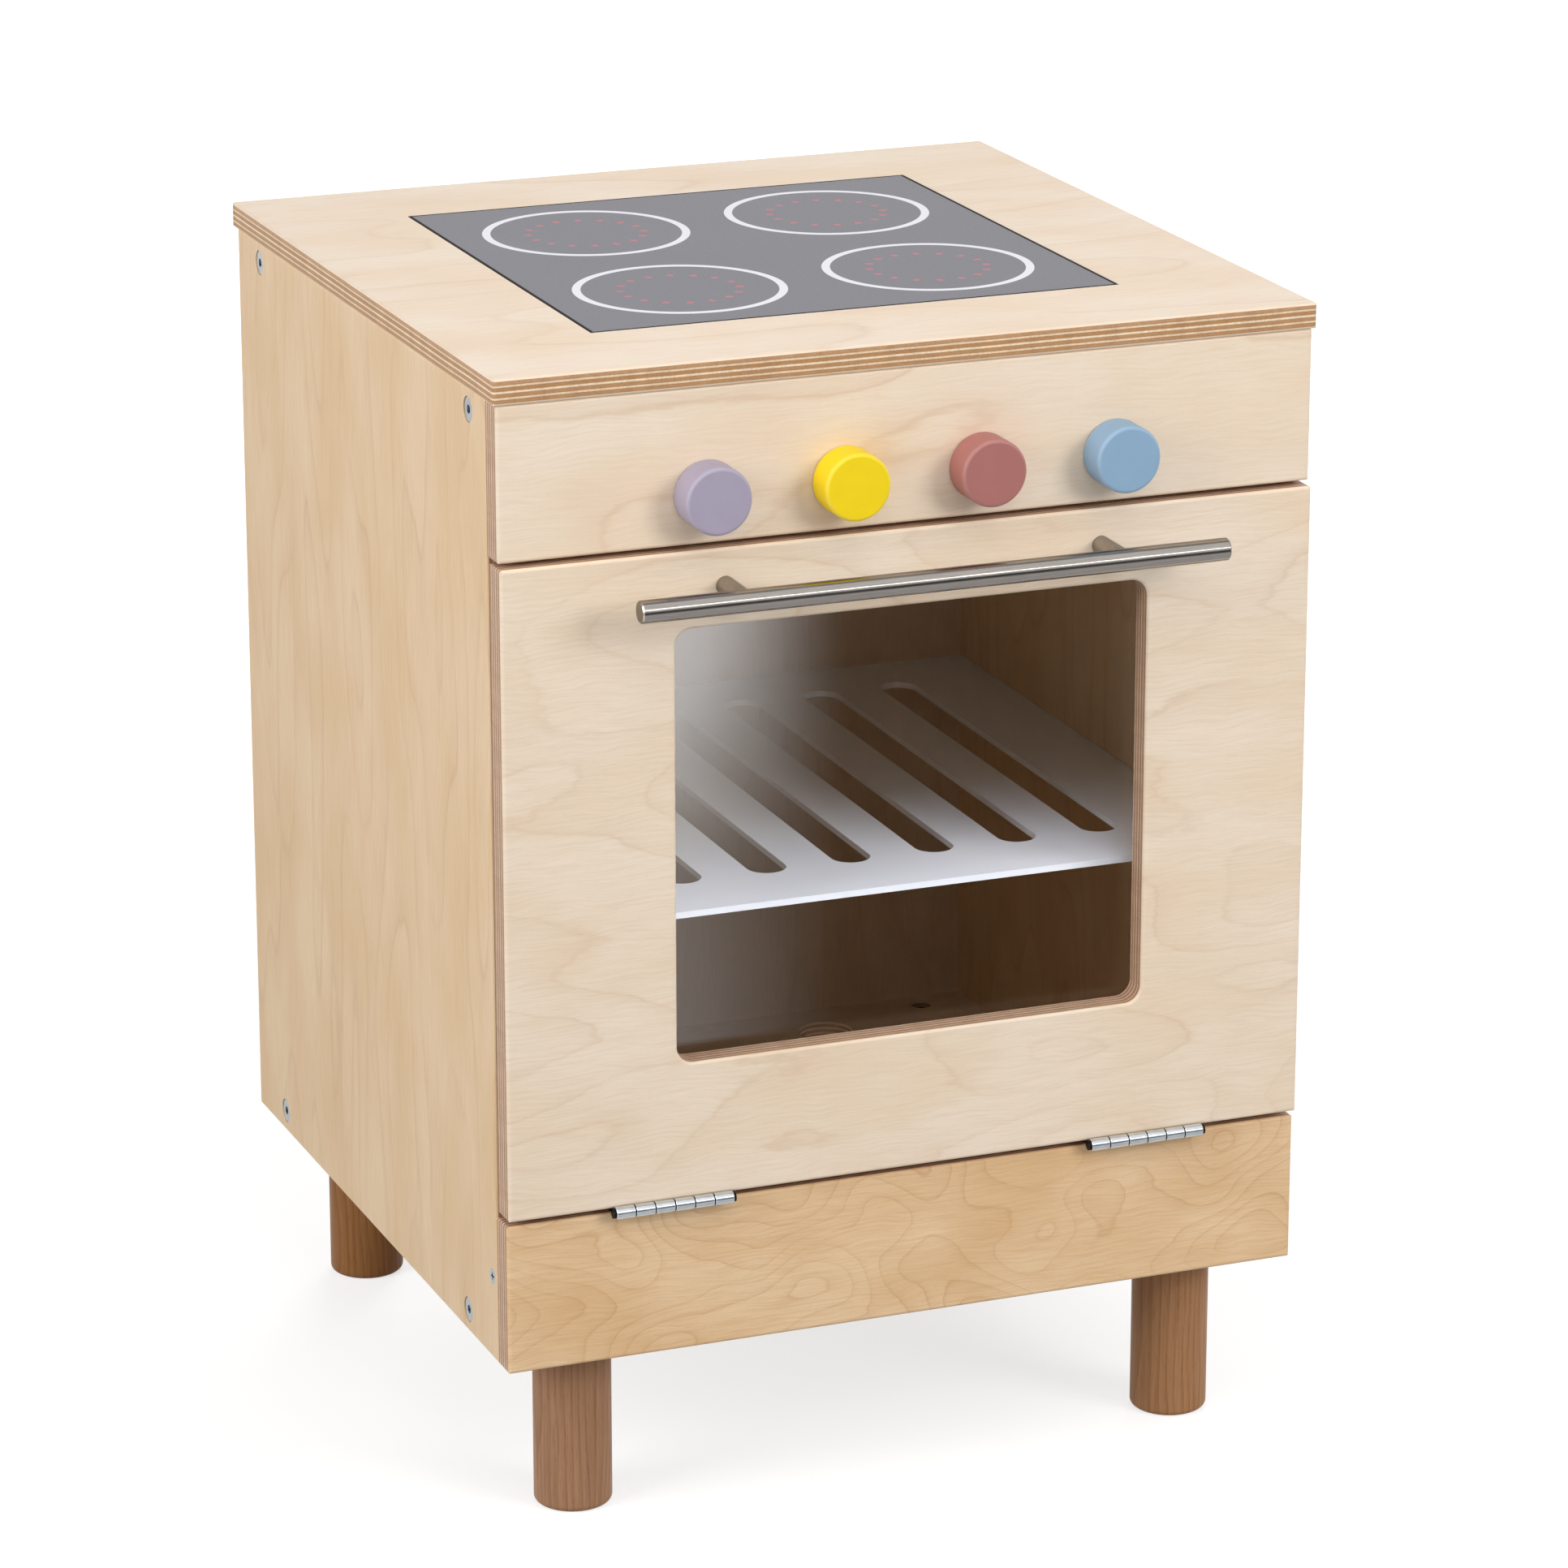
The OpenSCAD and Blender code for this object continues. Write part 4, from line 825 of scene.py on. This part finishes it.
def painted_knob(name, tint):
    """Matt paint with a painted highlight, a little paler, where the front edge is rounded."""
    material, wiring, shader, point = new_material(name)
    middle_of_knob = (low[name] + high[name]) / 2
    coat = wiring.place(coat_unevenness, Position=point, Peel_Size=0.9, Cloud_Size=12.0)
    edge = wiring.place(painted_rim_highlight, Position=point, Centre_X=middle_of_knob.x,
                        Centre_Z=middle_of_knob.z, Radius=(high[name].x - low[name].x) / 2,
                        Front=low[name].y)
    deeper = tuple(c * 0.9 for c in tint[:3]) + (1.0,)
    paler = tuple(c + (1 - c) * 0.07 for c in tint[:3]) + (1.0,)
    base = wiring.mix(coat["Cloud"], deeper, tint)
    # Painted highlight: the rounded front edge is mixed towards the paler tint.
    rim_highlight = wiring.times(edge["Rim Highlight"], wiring.step(coat["Cloud"], 0.2, 0.6, 0.5, 1.0))
    wiring.feed(shader["Base Color"], wiring.mix(rim_highlight, base, paler))
    wiring.feed(shader["Roughness"], wiring.step(coat["Peel"], 0.3, 0.7, 0.42, 0.52))
    wiring.feed(shader["Specular IOR Level"], 0.3)
    add_bump(wiring, shader, coat["Peel"], depth=0.03)
    return material


KNOBS = {"lilac_knob": colour(173, 164, 185), "yellow_knob": colour(255, 222, 6),
         "rose_knob": colour(178, 115, 110), "blue_knob": colour(145, 177, 206)}
for name, tint in KNOBS.items():
    dress(painted_knob(name, tint), name)
dress(coated("white_shelf", colour(246, 249, 255), 0.35, grain_size=1.6, variation=0.03),
      "oven_shelf")
dress(coated("moulded_catch", colour(232, 232, 228), 0.4, grain_size=0.8), "catch_housing")
dress(coated("dark_magnet", colour(58, 56, 58), 0.6, grain_size=0.7, variation=0.2), "catch_magnet")
dress(coated("black_felt", colour(40, 38, 38), 0.95, grain_size=0.5, variation=0.3, relief=0.25),
      "door_bumpers", "knob_washers")
print("knobs:", ", ".join(KNOBS))

# %% [markdown]
# ## Metals
#
# The handle is ground stainless steel: the grinding belt leaves fine lines along the bar.
# The hinges, screws and bolts are bright zinc plate, smooth but slightly cloudy. A hexagon
# socket and the gap between two hinge tongues get painted shade, as little light gets in: an
# ambient occlusion node finds such hollows by itself and turns the metal's colour near black
# there, which saves painting a mask for every screw.

# %% The surface of metal as a node group
HOLLOW_REACH = 3


def build_metal_group():
    """Ground lines along X, a cloud, and Hollow: 1 in recesses and gaps a few mm wide, which get
    painted shade.
    """
    group, wiring, given, result = new_group(
        "metal_surface",
        [("Position", "Vector", (0, 0, 0)), ("Lines", "Float", 0.5)],
        [("Grinding", "Float"), ("Mixed", "Float"), ("Hollow", "Float")])
    grinding = wiring.noise(wiring.stretch(given["Position"], 1 / 14, 1 / 0.4, 1 / 0.4), detail=3,
                            roughness=0.65)
    cloud = wiring.noise(wiring.stretch(given["Position"], 1 / 5, 1 / 5, 1 / 5), detail=3)
    wiring.feed(result["Grinding"], grinding)
    clouded = wiring.times(cloud, wiring.maths("SUBTRACT", 1.0, given["Lines"]))
    wiring.feed(result["Mixed"], wiring.total(wiring.times(grinding, given["Lines"]), clouded))
    open_sky = wiring.node("ShaderNodeAmbientOcclusion", samples=8)
    wiring.feed(open_sky.inputs["Distance"], HOLLOW_REACH * MM)
    wiring.feed(result["Hollow"], wiring.step(open_sky.outputs["AO"], 0.3, 0.75, 0.85, 0.0))
    return group


metal_surface = build_metal_group()
print("metal group:", metal_surface.name)

# %% [markdown]
# Each metal is the same group under its own tint and roughness. A rim below 1 keeps the round
# bar from turning white where it is seen at a flat angle.

# %% Steel, zinc and blackened steel
# The near-black colour of the painted shade in hollows.
PAINTED_HOLLOW_SHADE = colour(30, 29, 30)


def metal(name, tint, rough, lines=0.5, cloud_share=0.1, relief=0.01, rim=1.0):
    """rim is how bright the metal stays where it is seen at a flat angle."""
    material, wiring, shader, point = new_material(name)
    surface = wiring.place(metal_surface, Position=point, Lines=lines)
    sheen = wiring.step(surface["Mixed"], 0.3, 0.7)
    darker = tuple(c * (1 - 2 * cloud_share) for c in tint[:3]) + (1.0,)
    clean = wiring.mix(sheen, darker, tint)
    # Painted shade: in the hollows that ambient occlusion finds, the base colour turns near black.
    wiring.feed(shader["Base Color"], wiring.mix(surface["Hollow"], clean, PAINTED_HOLLOW_SHADE))
    wiring.feed(shader["Metallic"], 1.0)
    wiring.feed(shader["Specular Tint"], (rim, rim, rim, 1))
    wiring.feed(shader["Roughness"], wiring.step(sheen, 0.0, 1.0, rough - 0.04, rough + 0.05))
    add_bump(wiring, shader, surface["Grinding"], depth=relief)
    return material


ground_steel = metal("ground_steel", colour(178, 172, 166), 0.14, lines=0.9, cloud_share=0.08,
                     relief=0.003, rim=0.6)
zinc = metal("bright_zinc", colour(222, 228, 234), 0.16, lines=0.3, cloud_share=0.06, relief=0.004)
black_oxide = metal("black_oxide", colour(44, 43, 45), 0.4, lines=0.3, cloud_share=0.2)
dress(ground_steel, "handle_bar", "handle_posts", "strike_plate")
dress(black_oxide, "leg_bolts", "left_hinge_pin", "right_hinge_pin")
dress(zinc, *[n for n in nodes if n.endswith(("_nut", "_nuts", "_inserts")) or "screw" in n
              or "hinge_kick_leaf" in n or "hinge_door_leaf" in n or n.endswith("_bolt")],
      "side_bolts")
print("zinc-plated nodes:", sum(1 for n in nodes if nodes[n].data.materials[0] == zinc))

# %% [markdown]
# ## The hinge leaves
#
# A hinge leaf is stamped from steel strip and its tongues are rolled round the pin. Two flat
# outlines describe it: the plate with its screw holes, seen from above, and one rolled
# tongue, seen from the end. Blender's 2D curves fill such an outline, leave inner outlines
# open as holes, give it thickness with extrude, and round its edges with bevel. The rounded
# ends of the tongues leave fine gaps, which the real hinge shows as fine dark lines; here the
# zinc's painted shade in hollows darkens them.

# %% Stamped outlines
def stamped(outlines, thickness, edge):
    """A flat blank in the XY plane, thickness centred on 0, from outlines of (x, y) points."""
    curve = bpy.data.curves.new("blank", "CURVE")
    curve.dimensions = "2D"
    curve.fill_mode = "BOTH"
    curve.extrude = thickness / 2 - edge
    curve.bevel_depth = edge
    curve.bevel_resolution = 2
    curve.offset = -edge
    for outline in outlines:
        line = curve.splines.new("POLY")
        line.points.add(len(outline) - 1)
        for point, (x, y) in zip(line.points, outline):
            point.co = (x, y, 0, 1)
        line.use_cyclic_u = True
    blank = bpy.data.objects.new("blank", curve)
    scene.collection.objects.link(blank)
    shown = blank.evaluated_get(bpy.context.evaluated_depsgraph_get())
    mesh = bpy.data.meshes.new_from_object(shown)
    bpy.data.objects.remove(blank)
    return mesh


def arc(centre, radius, start, end, steps):
    """Points on an arc; angles in degrees, either way round."""
    turns = [math.radians(start + (end - start) * i / steps) for i in range(steps + 1)]
    return [(centre[0] + radius * math.cos(t), centre[1] + radius * math.sin(t)) for t in turns]


def join_parts(name, parts, body, stands_for, material, sharp=35):
    """One piece from (mesh, matrix) pairs in millimetres, in the row's frame."""
    joined = bmesh.new()
    for mesh, place in parts:
        part = bmesh.new()
        part.from_mesh(mesh)
        bmesh.ops.remove_doubles(part, verts=part.verts, dist=0.001)
        bmesh.ops.transform(part, matrix=Matrix.Scale(MM, 4) @ place, verts=part.verts)
        bmesh.ops.recalc_face_normals(part, faces=part.faces)
        moved = bpy.data.meshes.new("part")
        part.to_mesh(moved)
        part.free()
        joined.from_mesh(moved)
        bpy.data.meshes.remove(moved)
    shape = bpy.data.meshes.new(name)
    joined.to_mesh(shape)
    joined.free()
    shape.polygons.foreach_set("use_smooth", [True] * len(shape.polygons))
    shape.set_sharp_from_angle(angle=math.radians(sharp))
    shape.materials.append(material)
    piece = bpy.data.objects.new(name, shape)
    scene.collection.objects.link(piece)
    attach(piece, body)
    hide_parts(*stands_for)
    return piece


print("an arc of 4 points:", [(round(x, 1), round(y, 1)) for x, y in arc((0, 0), 3, 0, 90, 3)])

# %% [markdown]
# Now the four leaves themselves. The kick leaf and the door leaf of a hinge share one barrel:
# the tongues of one stand in the gaps of the other, three each. Each leaf rides on the board
# that it is screwed to, so the barrel stays whole when the door drops.

# %% Four rolled leaves
LEAF_DEPTH, LEAF_THICK, BARREL_RADIUS, SCREW_HOLE = 13.0, 1.2, 3.0, 2.4
KNUCKLES, KNUCKLE_GAP, SCREW_SPREAD, SCREW_BACK = 6, 0.5, 20.0, 7.5
LEAF_LENGTH, PLATE_OFFSET, PLATE_EDGE, TONGUE_EDGE = 58.0, 0.9, 0.15, 0.35
WEB_LOW, WEB_HIGH, WEB_OVERLAP = -1.49, -0.31, 0.1


def rolled_tongue(web_low, web_high, reach):
    """The end view of one tongue: it comes in along the web and rolls once round the pin."""
    inner = BARREL_RADIUS - LEAF_THICK
    outer_start = math.degrees(math.asin(web_low / BARREL_RADIUS))
    inner_end = math.degrees(math.asin(web_high / inner))
    outside = arc((0, 0), BARREL_RADIUS, outer_start, -351, 56)
    inside = arc((0, 0), inner, -351, inner_end, 56)
    return [(reach, web_low)] + outside + inside + [(reach, web_high)]


def hinge_leaf(side, board, body):
    node = f"{side}_hinge_{board}_leaf"
    start, end = low[node], high[node]
    middle_x = (start.x + end.x) / 2
    barrel_y = start.y + BARREL_RADIUS
    plate_y = end.y - LEAF_DEPTH
    up = 1 if board == "door" else -1
    barrel_z = start.z + BARREL_RADIUS if up > 0 else end.z - BARREL_RADIUS
    plate_z = barrel_z + up * PLATE_OFFSET
    half = LEAF_LENGTH / 2
    blank = [(-half, 0), (half, 0), (half, LEAF_DEPTH), (-half, LEAF_DEPTH)]
    holes = [arc((x, SCREW_BACK), SCREW_HOLE, 0, 345, 23) for x in (-SCREW_SPREAD, 0, SCREW_SPREAD)]
    plate = stamped([blank] + holes, LEAF_THICK, PLATE_EDGE)
    parts = [(plate, Matrix.Translation((middle_x, plate_y, plate_z)))]
    pitch = LEAF_LENGTH / KNUCKLES
    outline = rolled_tongue(WEB_LOW, WEB_HIGH, plate_y - barrel_y + WEB_OVERLAP)
    if up > 0:
        outline = [(y, -z) for y, z in outline]
    tongue = stamped([outline], pitch - KNUCKLE_GAP, TONGUE_EDGE)
    stand = Matrix(((0, 0, 1, 0), (1, 0, 0, 0), (0, 1, 0, 0), (0, 0, 0, 1)))
    for number in range(1 if up > 0 else 0, KNUCKLES, 2):
        x = middle_x - half + (number + 0.5) * pitch
        parts.append((tongue, Matrix.Translation((x, barrel_y, barrel_z)) @ stand))
    return join_parts(node + "_rolled", parts, body, [node], zinc)


for side in ("left", "right"):
    hinge_leaf(side, "kick", "cabinet")
    leaf = hinge_leaf(side, "door", "door")
    print(leaf.name, "box in mm", [round(v / MM, 1) for v in leaf.dimensions])

# %% [markdown]
# ## The window pane
#
# The pane is clear acrylic. Its refractive index is set lower than acrylic's 1.49, because it
# mirrors its surroundings very faintly here. Glass in a renderer also stops the lamps' direct
# light, which would leave the oven black; real acrylic lets nearly all of it through. So for
# the rays that carry light, and only for them, the pane is a plain transparent sheet.

# %% The pane
def clear_pane():
    material, wiring, shader, point = new_material("clear_acrylic")
    smear = wiring.noise(wiring.stretch(point, 1 / 60, 1 / 60, 1 / 45), detail=3)
    wiring.feed(shader["Base Color"], wiring.mix(smear, (0.97, 0.98, 0.98, 1), (1, 1, 1, 1)))
    wiring.feed(shader["Roughness"], 0.0)
    wiring.feed(shader["IOR"], 1.3)
    wiring.feed(shader["Transmission Weight"], 1.0)
    through = wiring.node("ShaderNodeBsdfTransparent")
    wiring.feed(through.inputs["Color"], (0.985, 0.985, 0.985, 1))
    choose = wiring.node("ShaderNodeMixShader")
    principled = material.node_tree.nodes["Principled BSDF"]
    rays = light_path(wiring)
    wiring.feed(choose.inputs[0], wiring.maths("MAXIMUM", rays["Is Shadow Ray"],
                                               rays["Is Diffuse Ray"]))
    wiring.feed(choose.inputs[1], principled.outputs[0])
    wiring.feed(choose.inputs[2], through.outputs[0])
    wiring.feed(material.node_tree.nodes["Material Output"].inputs["Surface"], choose.outputs[0])
    return material


dress(clear_pane(), "window_pane")
print("pane is", round(high["window_pane"].y - low["window_pane"].y, 1), "mm thick")
